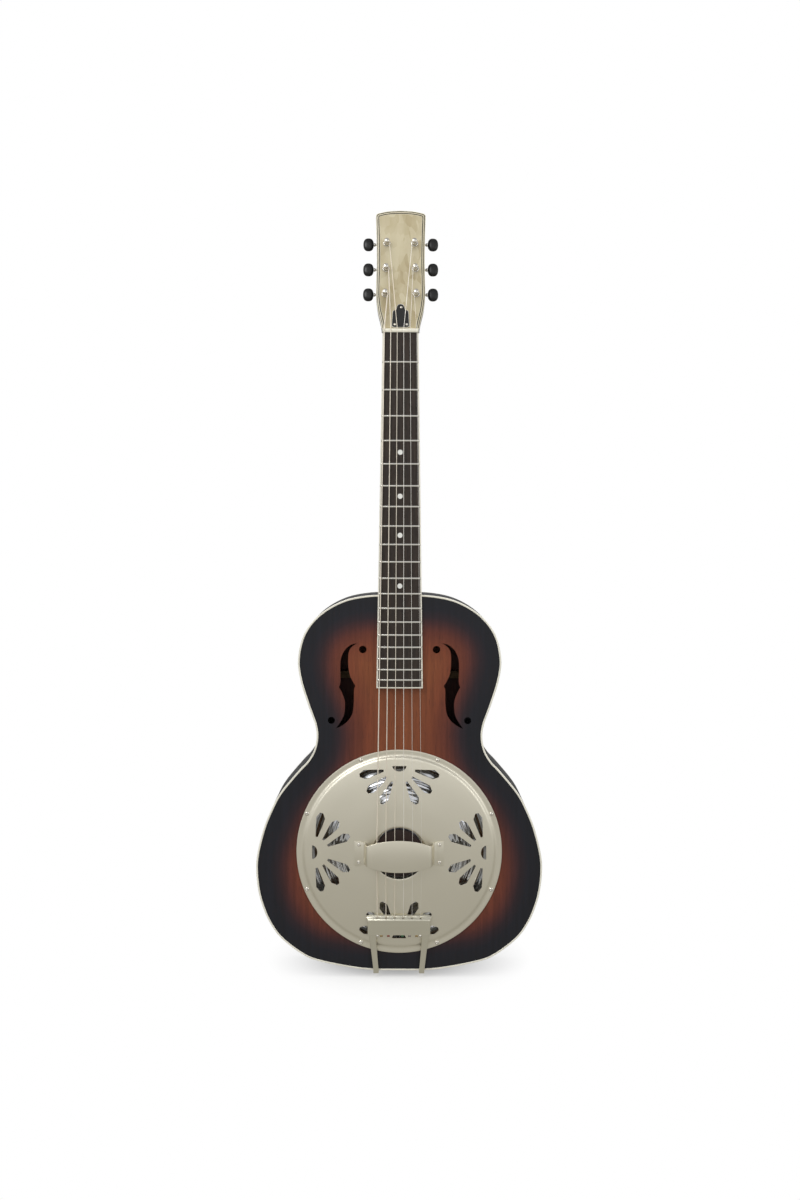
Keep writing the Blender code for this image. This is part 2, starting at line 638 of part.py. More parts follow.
def make_truss_rod():
    """A bar in the neck's channel whose thinner end takes the adjusting nut, under the bell cover."""
    end_w = 0.0732
    bar = [rod_ring(z, 0.0027, neck_top(z) - 0.0048, 0.0036) for z in (0.3300, 0.6341)]
    tip = [rod_ring(z, 0.0014, end_w, 0.0014) for z in (0.6343, 0.6496)]
    loft("truss_rod", bar + tip, STEEL)
    stand = Matrix.Translation((0, -end_w, 0))
    slab(
        "truss_rod_nut",
        [circle(0, 0, 0.0034, 6), circle(0, 0, 0.0024, 10)],
        0.6411, 0.6481, STEEL, frame=stand, origin=(0, -end_w, 0.6446),
    )


# ---------------------------------------------------------------- tuning machines
def ear(u, v):
    """One bearing of a worm shaft: its loops in (w, v), with the shaft's hole, and its two faces."""
    box = rectangle(WORM_W - 0.0030, v - 0.0030, -HEAD_THICK - 0.0009, v + 0.0030)
    return [box, circle(WORM_W, v, SHAFT_RADIUS + 0.0003, 8)], u - 0.00075, u + 0.00075


def make_tuner_plate(side, name):
    low, high = -HEAD_THICK - GAP - 0.0009, -HEAD_THICK - GAP
    places = [(side * u, v) for u, v in POST_PLACES]
    holes = [circle(u, v, 0.0025, 10) for u, v in places]
    edges = sorted((side * 0.0105, side * 0.0268))
    outline = rectangle(edges[0], 0.0330, edges[1], 0.1270)
    plate = slab(name, [outline, *holes], low, high, NICKEL, frame=HEAD)
    for number, (u, v) in enumerate(places):
        for end in (-0.00545, 0.00545):
            loops, start, stop = ear(u + end, v + WORM_ABOVE_POST)
            part = slab(f"{name}_ear_{number}_{end > 0}", loops, start, stop, NICKEL, frame=HEAD_ACROSS)
            combine(plate, part, "UNION")


def make_knob(name, side, u, v):
    """A worm shaft along u with its button, as rings round the shaft's axis."""
    half_u, half_v, half_w = BUTTON_HALF
    shaft_ends = (u - 0.0072, BUTTON_CENTRE - half_u - 0.0008)
    stations = [(end, SHAFT_RADIUS, SHAFT_RADIUS) for end in shaft_ends]
    for share in (-1.0, -0.85, -0.5, 0.0, 0.5, 0.85, 1.0):
        bulge = math.sqrt(1 - (0.93 * share) ** 2)
        stations.append((BUTTON_CENTRE + share * half_u, half_v * bulge, half_w * (0.35 + 0.65 * bulge)))
    angle = np.linspace(0, 2 * math.pi, 12, endpoint=False)
    rings = [
        [(side * a, v + b * math.cos(t), WORM_W + c * math.sin(t)) for t in angle] for a, b, c in stations
    ]
    loft(name, rings, BLACK, frame=HEAD, origin=HEAD @ Vector((side * u, v, WORM_W)))


def make_post(name, u, v):
    profile = [
        (0, 0.0105), (0.0022, 0.0105), (0.0030, 0.0095), (0.0030, 0.0078), (0.0025, 0.0068),
        (0.0025, 0.0042), (0.0030, 0.0032), (0.0030, -HEAD_THICK), (0.0021, -HEAD_THICK),
        (0.0021, -0.0152), (0.0034, -0.0152), (0.0034, -0.0195), (0, -0.0195),
    ]
    place = HEAD @ Matrix.Translation((u, v, 0))
    turned(name, profile, NICKEL, 8, frame=place, origin=place.translation)


def make_tuners():
    make_tuner_plate(-1, "tuner_plate_bass")
    make_tuner_plate(1, "tuner_plate_treble")
    # String 6 is the thickest; strings 6 to 4 are on the bass side from the nut upwards.
    for side, numbers in ((-1, (6, 5, 4)), (1, (1, 2, 3))):
        for number, (u, v) in zip(numbers, POST_PLACES):
            make_knob(f"tuner_knob_{number}", side, u, v + WORM_ABOVE_POST)
            make_post(f"string_post_{number}", side * u, v)


# ---------------------------------------------------------------- strings
def make_string(number, order, side, post):
    """From beside its post, over the nut and the saddle, to just short of the tailpiece."""
    radius = STRING_RADII[order]
    place = order - 2.5
    lift = radius + GAP
    u, v = post
    route = [
        HEAD @ Vector((side * (u - POST_RADIUS - lift), v - 0.0005, 0.0055)),
        BODY @ Vector((place * NUT_SPACING, NUT_Z + NUT_LENGTH, NUT_TOP + lift)),
        BODY @ Vector((place * NUT_SPACING, NUT_Z, NUT_TOP + lift)),
        BODY @ Vector((place * SADDLE_SPACING, 0.0016, SADDLE_TOP + lift)),
        BODY @ Vector((place * SADDLE_SPACING, -0.0016, SADDLE_TOP + lift)),
        BODY @ Vector((place * TAIL_SPACING, -0.0752, TAIL_STRING_W)),
    ]
    curve = bpy.data.curves.new(f"string_{number}", "CURVE")
    curve.dimensions = "3D"
    curve.bevel_depth = radius
    curve.bevel_resolution = 2
    curve.use_fill_caps = True
    spline = curve.splines.new("POLY")
    spline.points.add(len(route) - 1)
    for point, place_at in zip(spline.points, route):
        point.co = (*place_at, 1)
    piece = bpy.data.objects.new(f"string_{number}", curve)
    curve.materials.append(finish_material(f"string_{number}", *STEEL))
    bpy.context.scene.collection.objects.link(piece)


def make_strings():
    posts = (*POST_PLACES, *POST_PLACES[::-1])
    for order, post in enumerate(posts):
        make_string(6 - order, order, -1 if order < 3 else 1, post)


def main():
    clear_scene()
    make_shell()
    make_top()
    make_inside()
    make_cone()
    make_coverplate()
    make_hand_rest()
    make_tailpiece()
    make_fretboard()
    make_neck()
    make_headstock()
    make_truss_rod()
    make_tuners()
    make_strings()


main()
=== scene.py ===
# %% [markdown]
# # A resonator guitar
# The metal cone under the pierced plate is this guitar's loudspeaker: the strings press on a maple
# saddle, the saddle shakes the cone, and the wooden body only holds it. This script dresses the
# guitar's CAD frame: fine surfaces take the place of the frame's plain solids, and each one gets
# the finish of its real material.
#
# Shapes are drawn in (u, v, w): u runs to the treble side, v towards the headstock, w out of the
# front.

# %% Start from the frame
import math

import bmesh
import bpy
import numpy as np
from mathutils import Matrix, Vector
from mathutils.geometry import tessellate_polygon


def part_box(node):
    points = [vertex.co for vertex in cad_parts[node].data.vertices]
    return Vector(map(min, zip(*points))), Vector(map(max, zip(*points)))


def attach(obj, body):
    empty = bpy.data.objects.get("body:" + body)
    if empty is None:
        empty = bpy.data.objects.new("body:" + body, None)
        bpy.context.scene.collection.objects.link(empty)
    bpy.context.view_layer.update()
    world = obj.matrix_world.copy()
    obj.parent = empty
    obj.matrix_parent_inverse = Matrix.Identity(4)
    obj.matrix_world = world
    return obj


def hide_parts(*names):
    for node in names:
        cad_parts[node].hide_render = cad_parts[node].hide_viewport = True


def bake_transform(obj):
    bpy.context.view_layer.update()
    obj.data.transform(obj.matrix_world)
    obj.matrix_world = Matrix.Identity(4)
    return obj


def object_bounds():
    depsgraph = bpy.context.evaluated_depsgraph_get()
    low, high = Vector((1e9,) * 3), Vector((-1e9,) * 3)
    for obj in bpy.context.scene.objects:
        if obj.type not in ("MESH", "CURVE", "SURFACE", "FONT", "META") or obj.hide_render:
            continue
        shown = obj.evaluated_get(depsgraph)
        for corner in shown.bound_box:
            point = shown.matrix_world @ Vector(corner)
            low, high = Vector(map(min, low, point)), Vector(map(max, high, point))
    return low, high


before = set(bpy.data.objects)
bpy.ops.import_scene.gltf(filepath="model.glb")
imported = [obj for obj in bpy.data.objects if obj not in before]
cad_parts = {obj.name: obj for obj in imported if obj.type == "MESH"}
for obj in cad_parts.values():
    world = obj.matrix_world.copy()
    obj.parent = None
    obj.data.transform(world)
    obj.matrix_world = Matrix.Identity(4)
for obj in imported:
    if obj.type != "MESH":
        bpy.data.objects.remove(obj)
cad_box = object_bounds()
print("frame", [round(side, 4) for side in cad_box[1] - cad_box[0]])

# %% [markdown]
# ## Sizes
# A guitar maker works from a few driving sizes: the scale length fixes the frets, the body's depth
# fixes the neck's height. They are read from the frame wherever a node's box gives them, so the
# fine pieces always fit it.

# %% Sizes read from the frame
SEAM = 0.0003
TOP_W = -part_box("top_panel")[0].y
PANEL = TOP_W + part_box("top_panel")[1].y
COVER_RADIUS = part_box("coverplate")[1].x
NUT_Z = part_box("nut")[0].z
NUT_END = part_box("nut")[1].z
NUT_TOP = -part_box("nut")[0].y
SADDLE_TOP = -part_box("saddle")[0].y
BOARD_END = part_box("fretboard_binding")[0].z
JOIN_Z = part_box("rim")[1].z
HINGE_W = -(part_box("tailpiece_pin")[0].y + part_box("tailpiece_pin")[1].y) / 2
HINGE_Z = (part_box("tailpiece_pin")[0].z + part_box("tailpiece_pin")[1].z) / 2
END_PIN_W = -(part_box("end_pin")[0].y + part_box("end_pin")[1].y) / 2
SCALE_LENGTH = NUT_Z - 0.0025
print(f"scale {SCALE_LENGTH * 1000:.1f} mm, body {TOP_W * 1000:.0f} mm deep")

# %% Sizes of the neck and the headstock
NECK_FALL = math.tan(math.radians(1.3))
HEAD_TILT = math.radians(11)
BOARD_AT_JOIN = 0.0923
BOARD_THICK = 0.0063
BOARD_ROUND = 0.305  # radius of the fretboard's crown
NUT_HALF = 0.02175
BOARD_END_HALF = 0.0282
HEAD_THICK = 0.0135
HEAD_FACE_W = 0.0792  # height of the headstock's face where it meets the nut
HEAD_GAP = 0.0005
FACE_THICK = 0.0016
POST_HOLE = 0.0034
POSTS = ((0.0188, 0.0440), (0.0178, 0.0760), (0.0168, 0.1083))
STRING_RADII = (0.000675, 0.00053, 0.00040, 0.00030, 0.00021, 0.00015)  # bass side first
NUT_SPACING, SADDLE_SPACING, TAIL_SPACING = 0.0078, 0.01088, 0.0106

# %% [markdown]
# ## Frames
# The headstock leans back from the neck, so its pieces are drawn flat in its own frame and tilted
# by one matrix. The front and the tail each have such a frame as well: a matrix is the whole trick.

# %% Frames of the front, the headstock and the tail
FRONT = Matrix(((1, 0, 0, 0), (0, 0, -1, 0), (0, 1, 0, 0), (0, 0, 0, 1)))
HEAD = (
    Matrix.Translation((0, -HEAD_FACE_W, NUT_END + HEAD_GAP))
    @ Matrix.Rotation(-HEAD_TILT, 4, "X")
    @ FRONT
)
TAIL = Matrix(((1, 0, 0, 0), (0, -1, 0, 0), (0, 0, -1, 0), (0, 0, 0, 1)))  # (u, w) drawn, towards the tail
SIDES = ((-1, "left"), (1, "right"))


def placed(points, matrix):
    """Every point of an array turned and moved by a 4 x 4 matrix."""
    table = np.array(matrix)
    return np.asarray(points, float) @ table[:3, :3].T + table[:3, 3]


def moved(frame_matrix, u, v, w=0.0):
    return frame_matrix @ Matrix.Translation((u, v, w))


# %% [markdown]
# ## Surfaces from arrays
# A surface is a grid of points and the quads between neighbours. One direction or both may close on
# themselves: a ring closes in both, a tube in one. Plates with holes are the exception: their faces
# are triangulated between loops.

# %% Grids, plates and turned shapes
def full_turn(count):
    """Angles evenly round a circle, without the last one that would double the first."""
    return np.linspace(0, 2 * math.pi, count, endpoint=False)


def grid(points, close_rows=False, close_columns=False, caps=False):
    """Quads between neighbours of a (rows, columns, 3) array; caps fill its first and last rows."""
    rows, columns = points.shape[:2]
    index = np.arange(rows * columns).reshape(rows, columns)
    ends = [index[0].tolist(), index[-1].tolist()] if caps else []
    if close_rows:
        index = np.vstack([index, index[:1]])
    if close_columns:
        index = np.hstack([index, index[:, :1]])
    quads = np.stack([index[:-1, :-1], index[:-1, 1:], index[1:, 1:], index[1:, :-1]], axis=-1)
    return points.reshape(-1, 3), quads.reshape(-1, 4).tolist() + ends


def joined(*surfaces):
    """Several surfaces as one: each one's faces count on from the points before them."""
    faces = []
    start = 0
    for points, own in surfaces:
        faces += [[corner + start for corner in face] for face in own]
        start += len(points)
    return np.vstack([points for points, own in surfaces]), faces


def plate(loops, low, high):
    """A flat plate between two heights; its first loop is its edge and the others are holes."""
    flat = np.vstack(loops)
    count = len(flat)
    points = np.vstack([at_height(flat, low), at_height(flat, high)])
    corners = [at_height(loop, 0.0).tolist() for loop in loops]
    lower = np.array([list(face) for face in tessellate_polygon(corners)])
    faces = lower.tolist() + (lower + count).tolist()
    start = 0
    for loop in loops:
        index = start + np.arange(len(loop))
        after = np.roll(index, -1)
        faces += np.column_stack([index, after, after + count, index + count]).tolist()
        start += len(loop)
    return points, faces


def turned(profile, segments, closed=False):
    """A (radius, height) profile spun round w: (radius cos a, radius sin a, height)."""
    radius, height = np.array(profile, float).T
    angle = full_turn(segments)
    parts = ((radius, np.cos(angle)), (radius, np.sin(angle)), (height, np.ones(segments)))
    points = np.stack([np.outer(size, share) for size, share in parts], axis=-1)
    return grid(points, close_rows=closed, close_columns=True)


def loft(u, v, w):
    """Closed sections with filled ends from arrays of coordinates that are stretched to one shape."""
    return grid(np.stack(np.broadcast_arrays(u, v, w), axis=-1), close_columns=True, caps=True)


def tube(path, radius, sides=12, up=(1.0, 0.0, 0.0)):
    """A circle square to a path, carried along it: point + radius (cos a side + sin a top)."""
    path = np.asarray(path, float)
    heading = np.gradient(path, axis=0)
    heading /= np.linalg.norm(heading, axis=1)[:, None]
    side = np.cross(heading, up)
    side /= np.linalg.norm(side, axis=1)[:, None]
    top = np.cross(side, heading)
    angle = full_turn(sides)[:, None]
    ring = np.cos(angle) * side[:, None] + np.sin(angle) * top[:, None]
    width = np.broadcast_to(radius, len(path))[:, None, None]
    return grid(path[:, None] + width * ring, close_columns=True, caps=True)


def strip(path, halves, thickness, middles=0.0, edge=0.0004, steps=3):
    """A flat bar with rounded edges along a path in (p, q); its width lies along the third axis.

    Each section point is the path's point, plus b along the path's normal, plus a along the third axis.
    """
    path = np.asarray(path, float)
    heading = np.gradient(path, axis=0)
    heading /= np.linalg.norm(heading, axis=1)[:, None]
    normal = np.column_stack([-heading[:, 1], heading[:, 0]])
    quarter = np.repeat(np.arange(4), steps + 1)
    angle = quarter * math.pi / 2 + np.tile(np.linspace(0, math.pi / 2, steps + 1), 4)
    right = np.where((quarter == 0) | (quarter == 3), 1.0, -1.0)
    front = np.where(quarter < 2, 1.0, -1.0)
    half = np.broadcast_to(halves, len(path))[:, None]
    middle = np.broadcast_to(middles, len(path))[:, None]
    a = middle + right * (half - edge) + edge * np.cos(angle)
    b = np.broadcast_to(front * (thickness / 2 - edge) + edge * np.sin(angle), a.shape)
    flat = path[:, None] + b[..., None] * normal[:, None]
    return grid(np.concatenate([flat, a[..., None]], axis=-1), close_columns=True, caps=True)


print("surface tools ready")

# %% [markdown]
# ## Curves
# Outlines are a few chosen points with a smooth curve through them, a Catmull-Rom curve: each span
# is a cubic whose slope at a point is the direction between that point's neighbours. Corners that
# are only slightly worn are cut twice instead, which rounds them and leaves the straight runs
# alone.

# %% Smooth runs, loops and offsets
def spaced(run, count, bend=0.0):
    """count points along a dense run, closer together where it turns if bend (metres a radian) is set."""
    steps = np.diff(run, axis=0)
    heading = np.unwrap(np.arctan2(steps[:, 1], steps[:, 0]))
    measure = np.linalg.norm(steps, axis=1) + bend * abs(np.gradient(heading))
    measure = np.concatenate([[0], np.cumsum(measure)])
    wanted = np.linspace(0, measure[-1], count)
    return np.column_stack([np.interp(wanted, measure, axis) for axis in run.T])


def smooth_run(points, count):
    """count points evenly along a Catmull-Rom curve through an open run of points."""
    knots = np.array(points, float)
    around = np.vstack([2 * knots[0] - knots[1], knots, 2 * knots[-1] - knots[-2]])
    share = np.linspace(0, 1, 24, endpoint=False)[:, None]
    spans = []
    for a, b, c, d in zip(around, around[1:], around[2:], around[3:]):
        cubic = 2 * b + (c - a) * share + (2 * a - 5 * b + 4 * c - d) * share**2
        spans.append(0.5 * (cubic + (3 * b - a - 3 * c + d) * share**3))
    return spaced(np.vstack(spans + [knots[-1:]]), count)


def offset_run(run, distance):
    """The run moved sideways, to its right-hand side."""
    heading = np.gradient(run, axis=0)
    heading /= np.linalg.norm(heading, axis=1)[:, None]
    return run + distance * np.column_stack([heading[:, 1], -heading[:, 0]])


def circle(u, v, radius, count=32):
    angle = full_turn(count)
    return np.column_stack([u + radius * np.cos(angle), v + radius * np.sin(angle)])


def rectangle(u0, v0, u1, v1):
    return np.array([(u0, v0), (u1, v0), (u1, v1), (u0, v1)], float)


def worn(loop, share=0.2, times=2):
    """A closed loop with its corners cut: each side keeps its middle and gets a point near each end."""
    for _ in range(times):
        after = np.roll(loop, -1, axis=0)
        pairs = np.stack([loop + share * (after - loop), after + share * (loop - after)], axis=1)
        loop = pairs.reshape(-1, 2)
    return loop


def mirrored(loop):
    return np.asarray(loop)[::-1] * (-1, 1)


def at_height(points, height):
    """Flat (u, v) points, in an array of any shape, lifted to (u, v, height)."""
    return np.concatenate([points, np.full((*points.shape[:-1], 1), height)], axis=-1)


# %% [markdown]
# ## Nodes for the finishes
# A finish is a Principled shader whose colour, roughness and bump come from patterns. Effects that
# several finishes share, wood grain and the bloom of worked metal, are node groups that only put
# out values.

# %% Helpers for shader nodes
def node(tree, kind, inputs=None, **options):
    """Add a node, set its options, and fill its inputs with numbers or with other nodes' sockets."""
    made = tree.nodes.new(kind)
    for option, value in options.items():
        setattr(made, option, value)
    for socket, value in (inputs or {}).items():
        if isinstance(value, bpy.types.NodeSocket):
            tree.links.new(value, made.inputs[socket])
        else:
            made.inputs[socket].default_value = value
    return made


def ramp(tree, share, stops, interpolation="LINEAR"):
    """A colour ramp over (position, colour) stops; a plain number stands for a grey."""
    made = node(tree, "ShaderNodeValToRGB", {"Fac": share})
    made.color_ramp.interpolation = interpolation
    elements = made.color_ramp.elements
    while len(elements) < len(stops):
        elements.new(0.5)
    for element, (position, colour) in zip(elements, stops):
        element.position = position
        element.color = (*colour, 1) if isinstance(colour, tuple) else (colour, colour, colour, 1)
    return made.outputs["Color"]


def mixed(tree, share, first, second, mode="MIX"):
    """Two colours mixed by a share; each may be a socket or an (r, g, b)."""
    made = tree.nodes.new("ShaderNodeMix")
    made.data_type = "RGBA"
    made.blend_type = mode
    for place, value in ((0, share), (6, first), (7, second)):
        if isinstance(value, bpy.types.NodeSocket):
            tree.links.new(value, made.inputs[place])
        elif place:
            made.inputs[place].default_value = (*value, 1)
        else:
            made.inputs[place].default_value = value
    return made.outputs[2]


def maths(tree, operation, *values):
    """A Math node over numbers and sockets, in the order that the operation takes them."""
    return node(tree, "ShaderNodeMath", dict(enumerate(values)), operation=operation).outputs[0]


def vector_maths(tree, operation, inputs, output=0):
    return node(tree, "ShaderNodeVectorMath", inputs, operation=operation).outputs[output]


def noise(tree, place, scale, detail=2.0, roughness=0.5, output="Fac"):
    inputs = {"Vector": place, "Scale": scale, "Detail": detail, "Roughness": roughness}
    return node(tree, "ShaderNodeTexNoise", inputs).outputs[output]


def stretch_range(tree, value, low, high):
    """A value's run from low to high, stretched over nought to one and held there beyond."""
    return node(tree, "ShaderNodeMapRange", {"Value": value, "From Min": low, "From Max": high}).outputs[0]


def stored(tree, name):
    """The value that a mesh's own attribute holds at the shaded point."""
    return node(tree, "ShaderNodeAttribute", attribute_name=name).outputs["Fac"]


def new_finish(name, colour, roughness, metallic=0.0, coat=0.0):
    """A material with one Principled shader, with its node tree, its shader and object coordinates."""
    material = bpy.data.materials.new(name)
    material.use_nodes = True
    tree = material.node_tree
    shader = tree.nodes["Principled BSDF"]
    shader.inputs["Base Color"].default_value = (*colour, 1)
    shader.inputs["Roughness"].default_value = roughness
    shader.inputs["Metallic"].default_value = metallic
    shader.inputs["Coat Weight"].default_value = coat
    shader.inputs["Coat Roughness"].default_value = 0.12
    return material, tree, shader, tree.nodes.new("ShaderNodeTexCoord").outputs["Object"]


def bump(tree, shader, height, distance, strength=1.0):
    made = node(tree, "ShaderNodeBump", {"Height": height, "Distance": distance, "Strength": strength})
    tree.links.new(made.outputs["Normal"], shader.inputs["Normal"])


def new_group(name, inputs, outputs):
    """An empty node group with its named sockets, and its input and output nodes."""
    tree = bpy.data.node_groups.new(name, "ShaderNodeTree")
    for label, kind in inputs:
        tree.interface.new_socket(label, in_out="INPUT", socket_type=kind)
    for label in outputs:
        tree.interface.new_socket(label, in_out="OUTPUT", socket_type="NodeSocketFloat")
    return tree, tree.nodes.new("NodeGroupInput").outputs, tree.nodes.new("NodeGroupOutput").inputs


def use_group(tree, group, inputs):
    return node(tree, "ShaderNodeGroup", inputs, node_tree=group).outputs


# %% [markdown]
# ### Wood grain
# Mahogany and rosewood show two things at once: broad streaks where the growth rings come to the
# surface, and fine open pores, short dark lines along the grain. Both are noise that is stretched
# along the grain. The stretch is an input of the group, so the same grain runs up the neck and
# across a brace.

# %% The wood grain group
wood_grain, given, result = new_group(
    "wood_grain",
    (("Position", "NodeSocketVector"), ("Stretch", "NodeSocketVector"), ("Fineness", "NodeSocketFloat")),
    ("Streaks", "Pores"),
)
stretched = vector_maths(wood_grain, "MULTIPLY", {0: given["Position"], 1: given["Stretch"]})
scaled = vector_maths(wood_grain, "SCALE", {0: stretched, "Scale": given["Fineness"]})
rings = noise(wood_grain, scaled, 1.0, detail=5.0, roughness=0.6)
wood_grain.links.new(stretch_range(wood_grain, rings, 0.3, 0.7), result["Streaks"])
pores = noise(wood_grain, scaled, 7.0)
wood_grain.links.new(stretch_range(wood_grain, pores, 0.58, 0.68), result["Pores"])

# %% [markdown]
# ### Bloom on metal
# Plated metal is never evenly bright: polishing leaves soft clouds, and handling leaves hair-fine
# marks. The group gives a roughness that drifts round a middle value, and a height for a very
# shallow bump.

# %% The metal bloom group
metal_bloom, given, result = new_group(
    "metal_bloom",
    (("Position", "NodeSocketVector"), ("Middle", "NodeSocketFloat"), ("Spread", "NodeSocketFloat")),
    ("Roughness", "Height"),
)
clouds = noise(metal_bloom, given["Position"], 28.0, detail=4.0)
centred = maths(metal_bloom, "SUBTRACT", clouds, 0.5)
drift = maths(metal_bloom, "MULTIPLY", centred, given["Spread"])
metal_bloom.links.new(maths(metal_bloom, "ADD", drift, given["Middle"]), result["Roughness"])
marks = noise(metal_bloom, given["Position"], 900.0, detail=3.0)
metal_bloom.links.new(marks, result["Height"])
print("node groups", [group.name for group in bpy.data.node_groups])


# %% [markdown]
# ### Sunburst
# The body is stained in a sunburst: black along the edges, through dark red, to the brown of the
# mahogany in the middle, so the stain follows the outline at an even distance. The blue tint in
# the black is a painted reflection, not stain. A vertex attribute holds each point's distance to
# the edge, in metres, and a colour ramp turns it into the stain and that painted tint. The grain
# lies under it and fades where the stain is black.

# %% Sunburst finish
BURST_REACH = 0.085  # metres over which the ramp runs
# The blue in the darkest stops is a painted reflection; the near-black under it is the stain.
BURST = (  # share of the reach, colour
    (0.0, (0.0075, 0.0090, 0.0135)), (0.20, (0.0095, 0.0100, 0.0165)), (0.31, (0.024, 0.012, 0.017)),
    (0.40, (0.060, 0.018, 0.018)), (0.52, (0.125, 0.030, 0.018)), (0.72, (0.190, 0.047, 0.019)),
    (1.0, (0.240, 0.070, 0.025)),
)


def sunburst_finish(name, roughness, specular):
    material, tree, shader, place = new_finish(name, (0.2, 0.05, 0.02), roughness)
    shader.inputs["Specular IOR Level"].default_value = specular
    uneven = maths(tree, "MULTIPLY_ADD", noise(tree, place, 9.0), 0.010, -0.005)
    sprayed = maths(tree, "ADD", stored(tree, "edge_distance"), uneven)
    stain_and_painted_reflection = ramp(tree, stretch_range(tree, sprayed, 0.0, BURST_REACH), BURST)
    grain = use_group(tree, wood_grain, {"Position": place, "Stretch": (1, 1, 0.05), "Fineness": 210.0})
    streaky = mixed(tree, grain["Streaks"], (0.72, 0.70, 0.68), (1.12, 1.12, 1.12))
    wood = mixed(tree, 1.0, stain_and_painted_reflection, streaky, "MULTIPLY")
    porous = maths(tree, "MULTIPLY", grain["Pores"], 0.42)
    tree.links.new(mixed(tree, porous, wood, (0.022, 0.008, 0.008)), shader.inputs["Base Color"])
    rough = maths(tree, "MULTIPLY_ADD", grain["Pores"], 0.12, roughness)
    tree.links.new(rough, shader.inputs["Roughness"])
    bump(tree, shader, grain["Pores"], -0.00003, 0.5)
    return material


SUNBURST = sunburst_finish("sunburst_mahogany", 0.42, 0.38)
SIDE_BURST = sunburst_finish("side_mahogany", 0.55, 0.22)


# %% [markdown]
# ### Other woods
# The neck is dark stained mahogany under lacquer, the fretboard is bare rosewood, and inside the
# body there is plain pale wood. One function makes them all: light and dark colours, the way the
# grain runs, and how shiny it is.

# %% Plain wood finishes
def wood_finish(
    name, light, dark, roughness, coat=0.0, stretch=(1, 1, 0.05), fineness=260.0, pore=0.4
):
    material, tree, shader, place = new_finish(name, light, roughness, coat=coat)
    grain = use_group(tree, wood_grain, {"Position": place, "Stretch": stretch, "Fineness": fineness})
    wood = mixed(tree, grain["Streaks"], dark, light)
    porous = maths(tree, "MULTIPLY", grain["Pores"], pore)
    deep = tuple(part * 0.35 for part in dark)
    tree.links.new(mixed(tree, porous, wood, deep), shader.inputs["Base Color"])
    rough = maths(tree, "MULTIPLY_ADD", grain["Pores"], 0.2, roughness)
    tree.links.new(rough, shader.inputs["Roughness"])
    bump(tree, shader, grain["Pores"], -0.00004, 0.6)
    return material


ACROSS = (0.05, 1, 1)  # the stretch of grain that runs from side to side
NECK_WOOD = wood_finish("dark_mahogany", (0.030, 0.013, 0.011), (0.013, 0.008, 0.009), 0.35, 0.15)
ROSEWOOD = wood_finish(
    "rosewood", (0.036, 0.022, 0.014), (0.010, 0.006, 0.004), 0.62, fineness=420.0, pore=0.7
)
PALE_WOOD = wood_finish("pale_lining_wood", (0.36, 0.23, 0.12), (0.25, 0.15, 0.07), 0.7)
BRACE_WOOD = wood_finish(
    "brace_spruce", (0.30, 0.20, 0.10), (0.22, 0.14, 0.07), 0.7, stretch=ACROSS
)
MAPLE = wood_finish(
    "saddle_maple", (0.50, 0.36, 0.20), (0.38, 0.25, 0.13), 0.45, stretch=ACROSS, pore=0.2
)
BISCUIT_WOOD = wood_finish("biscuit_wood", (0.030, 0.012, 0.009), (0.014, 0.007, 0.006), 0.6)


# %% [markdown]
# ### Metals
# The metals differ mostly in how they scatter light: the coverplate is nickel with a satin finish,
# the small hardware is polished, the cone is bright spun aluminium, and the strings are plain or
# wound wire. Wire this thin would only mirror the fretboard, so it is half metal, half plain
# colour, which keeps it bright.

# %% Metal finishes
def metal_finish(name, colour, roughness, spread=0.08, depth=0.000004, metallic=1.0):
    material, tree, shader, place = new_finish(name, colour, roughness, metallic=metallic)
    bloom = use_group(tree, metal_bloom, {"Position": place, "Middle": roughness, "Spread": spread})
    tree.links.new(bloom["Roughness"], shader.inputs["Roughness"])
    bump(tree, shader, bloom["Height"], depth, 0.4)
    return material


SATIN_NICKEL = metal_finish("satin_nickel", (0.86, 0.82, 0.69), 0.40, 0.06)
TAIL_NICKEL = metal_finish("tailpiece_nickel", (0.80, 0.77, 0.64), 0.33, 0.08)
BRIGHT_NICKEL = metal_finish("bright_nickel", (0.84, 0.81, 0.74), 0.16)
FRET_NICKEL = metal_finish("fret_nickel", (0.88, 0.86, 0.80), 0.22)
SPUN_ALUMINIUM = metal_finish("spun_aluminium", (0.80, 0.82, 0.86), 0.16, 0.10)
STEEL = metal_finish("tool_steel", (0.50, 0.50, 0.50), 0.3)
BRASS = metal_finish("ball_end_brass", (0.72, 0.52, 0.24), 0.25)


WIRE_METALLIC = 0.45


def wire_finish(name, colour, roughness, winding):
    """Wire wrapped with finer wire: a wave along the string's own length, winding metres a turn."""
    material, tree, shader, _ = new_finish(name, colour, roughness, metallic=WIRE_METALLIC)
    turns = maths(tree, "MULTIPLY", stored(tree, "string_length"), 2 * math.pi / winding)
    lifted = maths(tree, "MULTIPLY_ADD", maths(tree, "SINE", turns), 0.5, 0.5)
    # Painted shade: the grooves between turns are a fifth darker in colour, standing in for the shade that
    # falls in them.
    groove = mixed(tree, lifted, tuple(part * 0.8 for part in colour), colour)
    tree.links.new(groove, shader.inputs["Base Color"])
    bump(tree, shader, lifted, 0.00005, 0.6)
    return material


WOUND_WIRE = wire_finish("wound_wire", (0.97, 0.89, 0.76), 0.42, 0.00032)
PLAIN_WIRE = metal_finish("plain_wire", (0.95, 0.92, 0.86), 0.35, metallic=WIRE_METALLIC)


# %% [markdown]
# ### Plastics, bone and pearl
# The edge binding is cream celluloid, which is slightly cloudy. The headstock's face is pearloid,
# flakes of pearly film set in clear plastic: cells of noise that differ in brightness. Its edge is
# a sandwich of black and cream layers, so a ramp with hard steps reads how far in from the edge a
# point lies.

